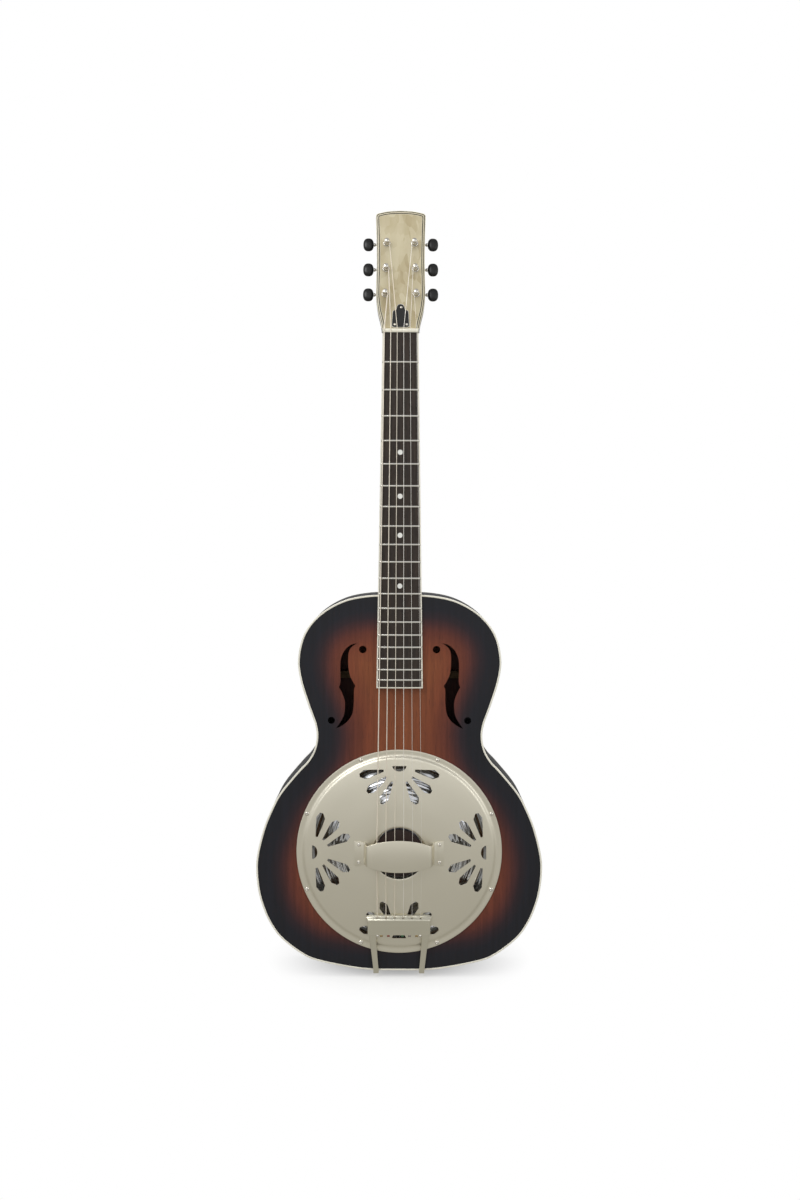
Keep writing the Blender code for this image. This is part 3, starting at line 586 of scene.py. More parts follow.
# %% Celluloid, pearloid, bone and plastic
def cloudy_finish(name, colour, roughness, coat=0.3, amount=0.10, scale=60.0):
    material, tree, shader, place = new_finish(name, colour, roughness, coat=coat)
    cloud = noise(tree, place, scale, detail=4.0)
    darker = tuple(part * (1 - amount) for part in colour)
    lighter = tuple(min(1.0, part * (1 + amount)) for part in colour)
    tree.links.new(mixed(tree, cloud, darker, lighter), shader.inputs["Base Color"])
    bump(tree, shader, cloud, 0.00002, 0.3)
    return material


def pearloid_finish():
    material, tree, shader, place = new_finish("pearloid", (0.6, 0.5, 0.3), 0.22, coat=0.6)
    pull = vector_maths(tree, "MULTIPLY", {0: place, 1: (1.0, 1.0, 0.45)})
    swirl = noise(tree, pull, 60.0, output="Color")
    shift = vector_maths(tree, "SCALE", {0: swirl, "Scale": 0.010})
    swirled = vector_maths(tree, "ADD", {0: pull, 1: shift})
    flakes = node(tree, "ShaderNodeTexVoronoi", {"Vector": swirled, "Scale": 150.0}, feature="F1")
    tone = node(tree, "ShaderNodeSeparateColor", {"Color": flakes.outputs["Color"]}).outputs[0]
    both = maths(tree, "MULTIPLY_ADD", tone, 0.45, noise(tree, swirled, 45.0, detail=3.0))
    stops = ((0.35, (0.38, 0.31, 0.17)), (0.7, (0.47, 0.40, 0.25)), (1.0, (0.56, 0.50, 0.34)))
    tree.links.new(ramp(tree, both, stops), shader.inputs["Base Color"])
    return material


def layered_finish():
    material, tree, shader, place = new_finish("layered_edge", (0.7, 0.65, 0.5), 0.3, coat=0.3)
    cream, black = (0.66, 0.60, 0.43), (0.016, 0.014, 0.008)
    layers = ((0.0, cream), (0.18, black), (0.38, cream), (0.62, black), (0.86, cream))
    layer = ramp(tree, stored(tree, "inwards"), layers, "CONSTANT")
    shade = mixed(tree, noise(tree, place, 120.0), (0.86, 0.86, 0.86), (1.0, 1.0, 1.0))
    tree.links.new(mixed(tree, 1.0, layer, shade, "MULTIPLY"), shader.inputs["Base Color"])
    return material


CREAM = cloudy_finish("cream_celluloid", (0.86, 0.83, 0.72), 0.3)
BONE = cloudy_finish("bone", (0.80, 0.77, 0.65), 0.35, coat=0.1, scale=200.0)
PEARL = cloudy_finish("dot_pearl", (0.84, 0.84, 0.80), 0.2, coat=0.5, amount=0.18, scale=260.0)
BLACK_PLASTIC = cloudy_finish("black_plastic", (0.0055, 0.0055, 0.0055), 0.3, coat=0.0, amount=0.3)
WHITE_PLASTIC = cloudy_finish("white_plastic", (0.80, 0.79, 0.74), 0.3)
PEARLOID = pearloid_finish()
LAYERED = layered_finish()
print("finishes", len(bpy.data.materials))

# %% [markdown]
# ## Finished pieces
# Every piece goes through one function: the arrays become a mesh, doubled points at seams and poles
# are merged, the faces are turned outwards, edges sharper than the crease stay sharp, and the piece
# rides on a body of the frame.

# %% Making, cutting and joining pieces
def new_object(name, points, faces):
    """An object in the scene, with a mesh of these points and faces."""
    mesh = bpy.data.meshes.new(name)
    mesh.from_pydata(points, [], faces)
    made = bpy.data.objects.new(name, mesh)
    bpy.context.scene.collection.objects.link(made)
    return made


def closed_object(name, surface):
    """An object with its doubled points merged and all its faces looking outwards."""
    points, faces = surface
    made = new_object(name, points.tolist(), faces)
    work = bmesh.new()
    work.from_mesh(made.data)
    bmesh.ops.remove_doubles(work, verts=work.verts, dist=1e-6)
    bmesh.ops.recalc_face_normals(work, faces=work.faces)
    work.to_mesh(made.data)
    work.free()
    return made


def make_piece(name, surface, finish, slot, body="guitar", replaces=(), crease=35, bevel=0.0):
    """A piece of the guitar: edges above crease degrees stay sharp, bevel metres of them are worn."""
    piece = closed_object(name, surface)
    piece.data.shade_smooth()
    piece.data.set_sharp_from_angle(angle=math.radians(crease))
    piece.data.materials.append(finish)
    if bevel:
        soften = piece.modifiers.new("worn_edges", "BEVEL")
        soften.width = bevel
        soften.segments = 2
        soften.limit_method = "ANGLE"
        soften.angle_limit = math.radians(40)
        soften.harden_normals = True
    if replaces:
        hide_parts(*replaces)
    if body:
        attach(piece, body)
    return piece


def combined(surface, other, operation="DIFFERENCE"):
    """Two closed surfaces joined or cut by Blender's exact Boolean, returned as arrays again."""
    kept, tool = [closed_object(name, part) for name, part in (("kept", surface), ("tool", other))]
    change = kept.modifiers.new("change", "BOOLEAN")
    change.operation = operation
    change.object = tool
    change.solver = "EXACT"
    made = kept.evaluated_get(bpy.context.evaluated_depsgraph_get())
    mesh = bpy.data.meshes.new_from_object(made)
    points = np.empty(len(mesh.vertices) * 3)
    mesh.vertices.foreach_get("co", points)
    faces = [list(face.vertices) for face in mesh.polygons]
    for helper in (kept, tool):
        bpy.data.objects.remove(helper)
    return points.reshape(-1, 3), faces


def set_attribute(piece, name, values):
    made = piece.data.attributes.new(name, "FLOAT", "POINT")
    made.data.foreach_set("value", np.asarray(values, np.float32))


def vertex_places(piece):
    places = np.empty(len(piece.data.vertices) * 3)
    piece.data.vertices.foreach_get("co", places)
    return places.reshape(-1, 3)


def on(matrix, surface):
    points, faces = surface
    return placed(points, matrix), faces


# %% [markdown]
# ## The body's outline
# The body is symmetrical, so its outline is half a dozen bends on one side, drawn as points from
# the neck joint round to the tail and mirrored. Points gather where the outline bends, which keeps
# the waist as smooth as the sides.

# %% The outline
BODY_HALF = (
    (0.0380, 0.3143), (0.0700, 0.3073), (0.0980, 0.2906), (0.1165, 0.2670), (0.1238, 0.2370),
    (0.1210, 0.2110), (0.1120, 0.1815), (0.1032, 0.1565), (0.1013, 0.1400), (0.1049, 0.1238),
    (0.1127, 0.1105), (0.1236, 0.0989), (0.1455, 0.0723), (0.1572, 0.0505), (0.1665, 0.0270),
    (0.1740, -0.0030), (0.1756, -0.0240), (0.1732, -0.0486), (0.1680, -0.0684), (0.1595, -0.0883),
    (0.1455, -0.1080), (0.1200, -0.1280), (0.0965, -0.1376), (0.0460, -0.1470),
)
BODY_TOP = (0.0, 0.3150)
BODY_TAIL = (0.0, -0.1484)
OUTLINE_POINTS = 360
SIDE_WALL = 0.0022
BINDING_DEPTH = 0.0055


def body_outline(inset=0.0):
    """The outline as a closed loop, moved inwards by inset."""
    dense = smooth_run(((-0.038, 0.3143), BODY_TOP, *BODY_HALF, BODY_TAIL, (-0.046, -0.147)), 1800)
    dense = dense[dense[:, 0] > 0]
    right = spaced(np.vstack([BODY_TOP, dense, BODY_TAIL]), OUTLINE_POINTS // 2 + 1, 0.05)
    loop = np.vstack([right, right[-2:0:-1] * (-1, 1)])
    return offset_run(np.vstack([loop[-1:], loop, loop[:1]]), inset)[1:-1]


def edge_distance(places):
    """Shortest distance in the (u, v) plane from each point to the outline, segment by segment."""
    loop = body_outline()
    along = np.roll(loop, -1, axis=0) - loop
    nearest = []
    for block in np.array_split(places, 12):
        offset = block[:, None, :] - loop
        share = np.clip((offset * along).sum(-1) / (along**2).sum(-1), 0, 1)
        nearest.append(np.linalg.norm(offset - share[..., None] * along, axis=-1).min(axis=1))
    return np.concatenate(nearest)


outline = body_outline()
print("outline", np.round(outline.max(0) - outline.min(0), 4))


# %% [markdown]
# ## Sides and bindings
# The side is one bent strip, and the cream bindings are let into its edges. Each is a small section
# with rounded corners, carried round the outline: a surface that closes in both directions.

# %% Rim and bindings
def soft_section(inset_0, height_0, inset_1, height_1, radius=0.0005):
    """The (inset, height) corners of a section, each cut into a quarter round."""
    turn = np.linspace(0, math.pi / 2, 4)
    corners = (
        (inset_1, height_1, 0), (inset_0, height_1, 1), (inset_0, height_0, 2), (inset_1, height_0, 3),
    )
    parts = []
    for inset, height, quarter in corners:
        angle = turn + quarter * math.pi / 2
        side = -1 if quarter in (0, 3) else 1
        rise = -1 if quarter < 2 else 1
        insets = inset + side * radius + radius * np.cos(angle)
        heights = height + rise * radius + radius * np.sin(angle)
        parts.append(np.column_stack([insets, heights]))
    return np.vstack(parts)


def around_body(section):
    """A (inset, height) section carried round the outline: one inset outline for each of its points."""
    rings = [at_height(body_outline(inset), height) for inset, height in section]
    return grid(np.stack(rings), close_rows=True, close_columns=True)


def make_sides():
    low, high = BINDING_DEPTH + SEAM / 3, TOP_W - BINDING_DEPTH - SEAM / 3
    rim = on(FRONT, around_body(soft_section(0.0, low, SIDE_WALL, high, 0.0002)))
    piece = make_piece("rim_side", rim, SIDE_BURST, "body_wood", replaces=["rim"])
    set_attribute(piece, "edge_distance", np.zeros(len(piece.data.vertices)))
    for name, low, high in (("back", 0.0, BINDING_DEPTH), ("top", TOP_W - BINDING_DEPTH, TOP_W)):
        band = on(FRONT, around_body(soft_section(0.0, low, SIDE_WALL, high)))
        make_piece(f"{name}_edge_binding", band, CREAM, "binding", replaces=[f"{name}_binding"])


make_sides()

# %% [markdown]
# ## Top and back
# Seen from the middle of the cone, every point of the outline lies in a direction of its own. So
# the top is a grid of rays: along each ray it runs from the outline to the rim of the cone's hole,
# with more points near the outline where the stain changes. The f-holes are cut out afterwards,
# because no grid follows their shape.

# %% Panels with the sunburst
F_RUNS = (
    ((0.0515, 0.2563), (0.0597, 0.2540), (0.0672, 0.2472), (0.0716, 0.2370), (0.0724, 0.2250),
     (0.0721, 0.2090), (0.0739, 0.2020)),
    ((0.0739, 0.2020), (0.0700, 0.1946), (0.0668, 0.1840), (0.0674, 0.1700), (0.0710, 0.1615),
     (0.0776, 0.1515)),
    ((0.0776, 0.1515), (0.0710, 0.1545), (0.0630, 0.1608), (0.0576, 0.1700), (0.0558, 0.1840),
     (0.0556, 0.1993), (0.0538, 0.2039)),
    ((0.0538, 0.2039), (0.0575, 0.2098), (0.0612, 0.2190), (0.0627, 0.2320), (0.0619, 0.2457),
     (0.0575, 0.2523), (0.0515, 0.2563)),
)
F_EYES = ((0.0449, 0.2484, 0.0046), (0.0832, 0.1615, 0.0043))
CONE_HOLE = 0.1178


def panel_surface(inner_radius, low, high, rays=34):
    """outline + share (hole - outline) along each ray, over the front and back along the inside."""
    edge = body_outline(SIDE_WALL + SEAM / 3)
    inner = edge / np.linalg.norm(edge, axis=1)[:, None] * inner_radius
    share = np.linspace(0, 1, rays)[:, None, None] ** 1.4
    front = edge + share * (inner - edge)
    back = front[::-1][::3]
    rows = np.concatenate([at_height(front, high), at_height(back, low)])
    return grid(rows, close_rows=True, close_columns=True)


def f_hole_cutters():
    slot = np.vstack([smooth_run(run, 18)[:-1] for run in F_RUNS])
    loops = [slot, mirrored(slot)]
    for u, v, radius in F_EYES:
        loops += [circle(u, v, radius, 36), circle(-u, v, radius, 36)]
    return joined(*[plate([loop], TOP_W - 2 * PANEL, TOP_W + PANEL) for loop in loops])


def make_panel(name, surface, slot, node_name, bevel=0.0):
    piece = make_piece(name, on(FRONT, surface), SUNBURST, slot, replaces=[node_name], bevel=bevel)
    set_attribute(piece, "edge_distance", edge_distance(vertex_places(piece)[:, [0, 2]]))


def make_panels():
    top = combined(panel_surface(CONE_HOLE, TOP_W - PANEL, TOP_W), f_hole_cutters())
    make_panel("top_board", top, "top", "top_panel", 0.0004)
    make_panel("back_board", panel_surface(0.0, 0.0, PANEL), "body_wood", "back_panel")


make_panels()

# %% [markdown]
# ## The cone
# A resonator cone is spun from thin aluminium on a lathe, and the tool leaves shallow rings. Its
# section is a rim that lies flat on the ledge, a groove, and a long slope up to the flat where the
# biscuit sits. A ripple of a fifth of a millimetre along the slope makes the streaks of light that
# show through the coverplate.

# %% Spun cone
LEDGE_W = 0.066
CONE_SHEET = 0.0007
RIPPLE, RIPPLE_LENGTH = 0.00018, 0.0052


def cone_profile():
    """The front from the rim to the flat, then the same run a sheet's thickness lower."""
    rim = LEDGE_W + SEAM + 0.0008
    knots = [
        (0.1165, rim), (0.1084, rim), (0.1050, rim - 0.0015), (0.1015, rim + 0.0005),
        (0.0850, rim + 0.0060), (0.0680, rim + 0.0122), (0.0500, rim + 0.0166),
        (0.0320, rim + 0.0203), (0.0300, rim + 0.0207), (0.0040, rim + 0.0208),
    ]
    run = smooth_run(knots, 150)
    radius = run[:, 0]
    slope = np.clip((0.100 - radius) / 0.01, 0, 1) * np.clip((radius - 0.033) / 0.006, 0, 1)
    run[:, 1] += RIPPLE * slope * np.sin(2 * math.pi * radius / RIPPLE_LENGTH)
    return np.vstack([run, (run - (0, CONE_SHEET))[::-1]])


spun = on(FRONT, turned(cone_profile(), 144, closed=True))
cone = make_piece("spun_cone", spun, SPUN_ALUMINIUM, "cone_metal", replaces=["cone"], crease=60)
print("cone", len(cone.data.polygons), "faces")

# %% [markdown]
# ## The coverplate
# The plate is stamped from sheet brass and plated: a flat flange for the screws, a short bend up,
# and a low dome with a hole in the middle. Its four fans of holes let the cone's sound out. Each
# fan is one half-moon and six petals round a point near the rim, so one petal's shape and six
# angles are enough, turned by quarters.

# %% Coverplate
FLANGE = TOP_W + SEAM + 0.0012
COVER_SHEET = 0.0012
COVER_HOLE = 0.0317
FAN_CENTRE = 0.105
PETAL_ANGLES = (-78, -52, -26, 26, 52, 78)
PETAL_FROM, PETAL_TO = 0.0195, 0.0495
PETAL_SHAPE = (  # share of its length, half width
    (0.0, 0.0013), (0.40, 0.0036), (0.79, 0.0055), (1.0, 0.0020),
)
CUT_FROM_TO = (0.080, 0.104)


def cover_profile():
    """Flange, bend, dome and the turned edge of the hole, in front, then the same run one sheet lower."""
    knots = [
        (0.1254, FLANGE), (0.1220, FLANGE), (0.1192, FLANGE + 0.0001), (0.1178, FLANGE + 0.0009),
        (0.1163, FLANGE + 0.0022), (0.1130, FLANGE + 0.0030), (0.0950, FLANGE + 0.0052),
        (0.0640, FLANGE + 0.0078), (0.0400, FLANGE + 0.0089), (0.0323, FLANGE + 0.0092),
    ]
    run = smooth_run(knots, 64)
    edge = [(COVER_RADIUS, FLANGE - 0.0005), (COVER_RADIUS - 0.0002, FLANGE - 0.0001)]
    hole = [(COVER_HOLE, FLANGE + 0.0088)]
    inner = (run - (0, COVER_SHEET))[::-1][1:-1]
    hole_back, edge_back = [(COVER_HOLE, FLANGE + 0.0081)], [(COVER_RADIUS, FLANGE - 0.0011)]
    return np.vstack([edge, run, hole, hole_back, inner, edge_back])


def petal(angle):
    """Half widths set out on both sides of a line that leaves the fan's centre at an angle."""
    along = np.array((math.sin(angle), -math.cos(angle)))
    across = np.array((along[1], -along[0]))
    share, half = np.array(PETAL_SHAPE).T
    spine = along * (PETAL_FROM + share * (PETAL_TO - PETAL_FROM))[:, None]
    sides = np.vstack([spine - across * half[:, None], (spine + across * half[:, None])[::-1]])
    return worn(sides, 0.05, 1)


def half_moon():
    angle = np.linspace(math.pi, 2 * math.pi, 25)
    arc = np.column_stack([0.0085 * np.cos(angle), 0.0015 + 0.0065 * np.sin(angle)])
    return worn(arc, 0.1, 1)


def fan_cutters():
    shapes = [half_moon()] + [petal(math.radians(angle)) for angle in PETAL_ANGLES]
    parts = []
    for quarter in range(4):
        turn = quarter * math.pi / 2
        spin = np.array(((math.cos(turn), math.sin(turn)), (-math.sin(turn), math.cos(turn))))
        parts += [plate([(shape + (0, FAN_CENTRE)) @ spin], *CUT_FROM_TO) for shape in shapes]
    return joined(*parts)


pierced = on(FRONT, combined(turned(cover_profile(), 192, closed=True), fan_cutters()))
cover = make_piece(
    "cover_dome", pierced, SATIN_NICKEL, "cover_metal", replaces=["coverplate"], crease=40, bevel=0.0002
)
print("coverplate", len(cover.data.polygons), "faces")


# %% [markdown]
# ## Screws
# A small raised-head screw is a dome with a cross pressed into it. The dome is a disc of rings and
# rays, and each point is pushed down where it lies in one of the cross's two arms, so one formula
# makes every screw of the guitar.

# %% Cross-head screws
def screw_head(radius, height, recess=0.55):
    """Rings and rays with height (1 - r^2) and the cross pushed in where |x| or |y| is small."""
    ring = np.array([0.0, 0.12, 0.2, 0.28, 0.4, 0.52, 0.6, 0.72, 0.86, 0.96, 1.0])[:, None]
    angle = full_turn(40)
    x, y = ring * np.cos(angle), ring * np.sin(angle)
    arm = np.minimum(abs(x), abs(y))
    inside = np.clip((0.20 - arm) / 0.08, 0, 1) * np.clip((0.62 - ring) / 0.08, 0, 1)
    rise = height * np.sqrt(np.clip(1.02 - ring**2, 0, 1)) - recess * height * inside
    top = np.stack([radius * x, radius * y, rise], axis=-1)
    skirt = np.stack([radius * x[-1], radius * y[-1], np.full(40, -0.0008)], axis=-1)[None]
    return grid(np.concatenate([top, skirt]), close_columns=True)


def make_screw(name, place, radius, height, replaces=()):
    dome = on(place, screw_head(radius, height))
    make_piece(name, dome, BRIGHT_NICKEL, "bright_metal", replaces=replaces, crease=50)


SCREW_CIRCLE = 0.1222
half_step = math.pi / 8
turned_half = ((math.cos(half_step), math.sin(half_step)), (-math.sin(half_step), math.cos(half_step)))
for number, (u, v) in enumerate(circle(0, 0, SCREW_CIRCLE, 8) @ np.array(turned_half), 1):
    place = moved(FRONT, u, v, FLANGE)
    make_screw(f"cover_screw_head_{number}", place, 0.0027, 0.0013, [f"cover_screw_{number}"])
print("8 cover screws")


# %% [markdown]
# ## The hand rest
# A bent strap over the bridge keeps the player's palm off the saddle. Its section is a flat bar
# with rounded edges, carried from foot to foot: the path gives the height, and the half width
# swells from the bend to the middle.

# %% Hand rest
REST_FOOT, REST_ROOF = 0.0957, 0.1128


def make_hand_rest():
    half_path = [
        (-0.0543, REST_FOOT - 0.0001), (-0.0500, REST_FOOT + 0.0001), (-0.0445, REST_FOOT + 0.0004),
        (-0.0422, REST_FOOT + 0.0017), (-0.0411, REST_FOOT + 0.0045), (-0.0402, REST_ROOF - 0.0050),
        (-0.0393, REST_ROOF - 0.0020), (-0.0370, REST_ROOF - 0.0002), (-0.0300, REST_ROOF + 0.0002),
        (-0.0150, REST_ROOF + 0.0004),
    ]
    knots = half_path + [(0.0, REST_ROOF + 0.0004)] + [(-u, w) for u, w in half_path[::-1]]
    path = smooth_run(knots, 120)
    reach = abs(path[:, 0])
    roof = 0.0195 - 0.0068 * (reach / 0.0390) ** 2.2
    foot = 0.01525 - 0.0018 * np.clip((0.0543 - reach) / 0.0110, 0, 1) ** 3
    half = np.where(reach > 0.0415, foot, roof)
    blend_zone = np.clip((reach - 0.0390) / 0.0045, 0, 1)
    half = np.minimum(half, 0.01265 + 0.0026 * blend_zone + 0.008 * np.clip((0.0390 - reach) / 0.02, 0, 1))
    points, faces = strip(path, half, 0.0014, edge=0.0006)
    rest = placed(points[:, [0, 2, 1]], FRONT), faces
    make_piece("palm_strap", rest, SATIN_NICKEL, "cover_metal", replaces=["hand_rest"], crease=50)
    for side, word in SIDES:
        for number, v in enumerate((-0.01075, 0.01075)):
            place = moved(FRONT, side * 0.0490, v, REST_FOOT + 0.0007)
            make_screw(f"strap_screw_{word}_{number}", place, 0.0023, 0.0011)


make_hand_rest()
print("hand rest")

# %% [markdown]
# ## The tailpiece
# The strings end in a folded plate that hangs from a hinge at the tail on two arms. The fold
# stiffens the plate's upper edge, and its slanting lip has a hole for each string. The brass ball
# ends lie against the lower edge.

# %% Tailpiece
PLATE_HALF = 0.03825
FOLDED_SHEET, FOLDED_EDGE = 0.0015, 0.0005
HINGE_BORE, HINGE_BARREL = 0.0018, 0.0030
BALL_SPACING = 0.0086
BALL_COLOURS = (
    (0.50, 0.36, 0.16), (0.40, 0.10, 0.08), (0.10, 0.10, 0.10),
    (0.12, 0.28, 0.16), (0.46, 0.40, 0.40), (0.50, 0.36, 0.16),
)
BALL = (
    (0.0006, -0.0016), (0.0016, -0.0016), (0.0020, -0.0012), (0.0014, 0.0),
    (0.0020, 0.0012), (0.0016, 0.0016), (0.0006, 0.0016),
)
STUD = (
    (0.0, 0.0019), (0.0009, 0.0018), (0.0016, 0.0012), (0.0019, 0.0004), (0.0019, -0.0010),
    (0.0, -0.0010),
)
RIVET = ((0.0, 0.0006), (0.0006, 0.0005), (0.0010, 0.0), (0.0010, -0.0004), (0.0, -0.0004))


def across_body(points, faces):
    """A shape drawn in (w, v) with its width along u, put into the row frame."""
    return placed(points[:, [2, 1, 0]], FRONT), faces


def hinge_sleeve(start, end):
    """A barrel round the hinge's pin, between two places along it."""
    loops = [circle(HINGE_W, HINGE_Z, radius, 36) for radius in (HINGE_BARREL, HINGE_BORE)]
    return across_body(*plate(loops, start, end))


def make_tail_piece(name, surface, **more):
    return make_piece(name, surface, TAIL_NICKEL, "cover_metal", "tailpiece", **more)


def string_holes():
    places = [(order - 2.5) * TAIL_SPACING for order in range(6)]
    return joined(*[on(TAIL, plate([circle(u, 0.0979, 0.0012, 16)], 0.0745, 0.0835)) for u in places])


def make_tail_plate():
    knots = [
        (0.0948, -0.0762), (0.0962, -0.0780), (0.0978, -0.0800), (0.0989, -0.0812), (0.0991, -0.0824),
        (0.0989, -0.0845), (0.0984, -0.0900), (0.0977, -0.0960), (0.0972, -0.1003),
    ]
    path = smooth_run(knots, 60)
    half = PLATE_HALF + 0.0018 * np.clip((path[:, 1] + 0.0805) / 0.0020, 0, 1)
    half -= 0.0030 * np.clip((path[:, 1] + 0.0785) / 0.0023, 0, 1)
    folded = across_body(*strip(path, half, FOLDED_SHEET, edge=FOLDED_EDGE))
    make_tail_piece("tail_plate", combined(folded, string_holes()), replaces=["tailpiece"], crease=45)


def make_tail_arms():
    knots = [
        (0.0973, -0.0985), (0.0958, -0.1040), (0.0925, -0.1180), (0.0895, -0.1400), (0.0885, -0.1468),
        (0.0868, -0.1500), (0.0830, -0.1516), (0.0700, -0.1519), (HINGE_W + 0.0040, -0.1520),
        (HINGE_W + 0.0024, -0.1522),
    ]
    path = smooth_run(knots, 70)
    down = np.clip((-0.0985 - path[:, 1]) / 0.0483, 0, 1)
    for side, word in SIDES:
        middle = side * (0.0327 - 0.0046 * down)
        half = 0.00465 - 0.0014 * np.sqrt(down)
        arm = across_body(*strip(path, half, FOLDED_SHEET, middle, edge=FOLDED_EDGE))
        make_tail_piece(f"tail_arm_{word}", arm, crease=45)
        start = side * 0.0281 - 0.00325
        knuckle = hinge_sleeve(start, start + 0.0065)
        make_tail_piece(f"tail_knuckle_{word}", knuckle, bevel=0.0003)


def make_tail_details():
    for order, colour in enumerate(BALL_COLOURS):
        points, faces = turned(BALL, 24, closed=True)
        centre = Matrix.Translation(((order - 2.5) * BALL_SPACING, -0.0952, -0.1016))
        ball = placed(points[:, [2, 1, 0]], centre), faces
        finish = metal_finish(f"ball_end_{6 - order}", colour, 0.3)
        make_piece(f"string_ball_{6 - order}", ball, finish, "string_metal", "tailpiece", crease=50)
    for side, word in SIDES:
        stud = on(moved(FRONT, side * 0.0262, -0.1014, 0.0965), turned(STUD, 24))
        make_piece(f"tail_stud_{word}", stud, BRIGHT_NICKEL, "bright_metal", "tailpiece")
        for number, (u, v) in enumerate(((0.0355, -0.0862), (0.0352, -0.0925))):
            place = moved(FRONT, side * u, v, 0.0992 + 0.12 * (v + 0.0862))
            rivet = on(place, turned(RIVET, 16))
            make_piece(f"tail_rivet_{word}_{number}", rivet, TAIL_NICKEL, "bright_metal", "tailpiece")


make_tail_plate()
make_tail_arms()
make_tail_details()
print("tailpiece")


# %% [markdown]
# ## Bracket and strap pin
# The hinge's fixed half is a small plate with a barrel, held to the tail by the strap pin's shank.
# The pin is turned: a waist for the strap between two flares.

# %% Bracket, hinge pin and strap pin
BRACKET_FACE = 0.1503


def make_tail_fittings():
    edge = worn(rectangle(-0.0200, 0.0200, 0.0200, HINGE_W - 0.0005), 0.06, 2)
    base = on(TAIL, plate([edge, circle(0, END_PIN_W, 0.0033, 32)], 0.1488, BRACKET_FACE))
    bracket = ["tailpiece_bracket"]
    make_piece("tail_bracket", base, TAIL_NICKEL, "cover_metal", replaces=bracket, bevel=0.0003)
    barrel = hinge_sleeve(-0.0245, 0.0245)
    make_piece("bracket_barrel", barrel, TAIL_NICKEL, "cover_metal", bevel=0.0003)
    rod = across_body(*plate([circle(HINGE_W, HINGE_Z, 0.0015, 24)], -0.0335, 0.0335))
    make_piece("hinge_rod", rod, STEEL, "bright_metal", replaces=["tailpiece_pin"], bevel=0.0003)
    out = BRACKET_FACE + SEAM
    waist = smooth_run(
        [(0.0045, out + 0.0062), (0.0061, out + 0.0059), (0.0070, out + 0.0049), (0.0066, out + 0.0038),
         (0.0049, out + 0.0026), (0.0045, out + 0.0016), (0.0047, out + 0.0007), (0.0055, out)], 40,
    )
    profile = np.vstack([[(0, out + 0.0062)], waist, [(0.0030, out), (0.0030, 0.1260), (0, 0.1260)]])
    pin = on(Matrix.Translation((0, -END_PIN_W, 0)) @ TAIL, turned(profile, 48))
    make_piece("strap_pin", pin, BRIGHT_NICKEL, "bright_metal", replaces=["end_pin"], crease=50)
    for side, word in SIDES:
        place = moved(TAIL, side * 0.0140, END_PIN_W, BRACKET_FACE)
        make_screw(f"bracket_screw_{word}", place, 0.0025, 0.0012)


make_tail_fittings()
print("tail fittings")


# %% [markdown]
# ## Neck
# The neck is carved from one piece: a round back that deepens into the heel at the body, and a
# headstock that leans back. The shaft is a loft of half ellipses whose depth is read from a smooth
# curve, and the headstock is a plate with softened edges. A Boolean union makes them one solid, as
# they are in the wood.

# %% Neck
HEEL_FLAT = 0.0118
NECK_DEPTHS = (  # v, depth of the wood below the fretboard
    (0.3157, 0.0860), (0.3240, 0.0800), (0.3320, 0.0640), (0.3380, 0.0440), (0.3450, 0.0280),
    (0.3560, 0.0200), (0.3800, 0.0180), (0.4800, 0.0170), (0.5940, 0.0154), (0.6240, 0.0150),
    (0.6355, 0.0146),
)
HEAD_SIDE = (
    (0.02275, 0.0), (0.0236, 0.0060), (0.0256, 0.0145), (0.0275, 0.0225), (0.0287, 0.0310),
    (0.0298, 0.0420), (0.0296, 0.0600), (0.0291, 0.0850), (0.0296, 0.1160), (0.0304, 0.1413),
)
HEAD_CORNER = ((0.0304, 0.1413), (0.0301, 0.1443), (0.0287, 0.1460), (0.0262, 0.1470))
HEAD_CROWN = ((0.0262, 0.1470), (0.0150, 0.1493), (0.0, 0.1502))


def board_surface(v):
    """Height of the fretboard's middle line: it falls towards the headstock."""
    return BOARD_AT_JOIN + (JOIN_Z - v) * NECK_FALL


def board_half(v):
    return NUT_HALF + (NUT_Z - v) / (NUT_Z - BOARD_END) * (BOARD_END_HALF - NUT_HALF)


def crown(u):
    """How far the fretboard's round falls at u from the middle: u^2 / 2R."""
    return u**2 / (2 * BOARD_ROUND)


def head_run(inset):
    """The headstock's edge from the nut round its top and back to the nut, moved inwards."""
    side, corner = smooth_run(HEAD_SIDE, 40)[:-1], smooth_run(HEAD_CORNER, 14)[:-1]
    right = np.vstack([side, corner, smooth_run(HEAD_CROWN, 16)])
    whole = np.vstack([right, (right * (-1, 1))[-2::-1]])
    run = offset_run(whole, -inset)
    run[[0, -1], 1] = 0
    return run


def head_holes():
    return [circle(side * u, v, POST_HOLE, 28) for u, v in POSTS for side in (1, -1)]


def neck_shaft():
    """Rings (half cos a, top + depth sin a), held above the heel's flat, over smooth stations."""
    run = smooth_run(NECK_DEPTHS, 90)
    head_v = np.linspace(NUT_END + 0.0002, 0.6590, 10)
    fall = (head_v - NUT_END - HEAD_GAP) * math.tan(HEAD_TILT)
    head_top = HEAD_FACE_W - fall - FACE_THICK - SEAM - 0.0004
    v = np.concatenate([run[:, 0], head_v])
    top = np.concatenate([board_surface(run[:, 0]) - BOARD_THICK - SEAM / 3, head_top])
    depth = np.concatenate([run[:, 1], np.linspace(0.0142, 0.0104, 10)])
    half = np.concatenate([board_half(run[:, 0]) - 0.0001, np.full(10, 0.0222)])
    angle = np.linspace(0, -math.pi, 41)
    across = np.cos(angle) * half[:, None]
    below = np.maximum(top[:, None] + depth[:, None] * np.sin(angle), HEEL_FLAT)
    return loft(across, v[:, None], below)


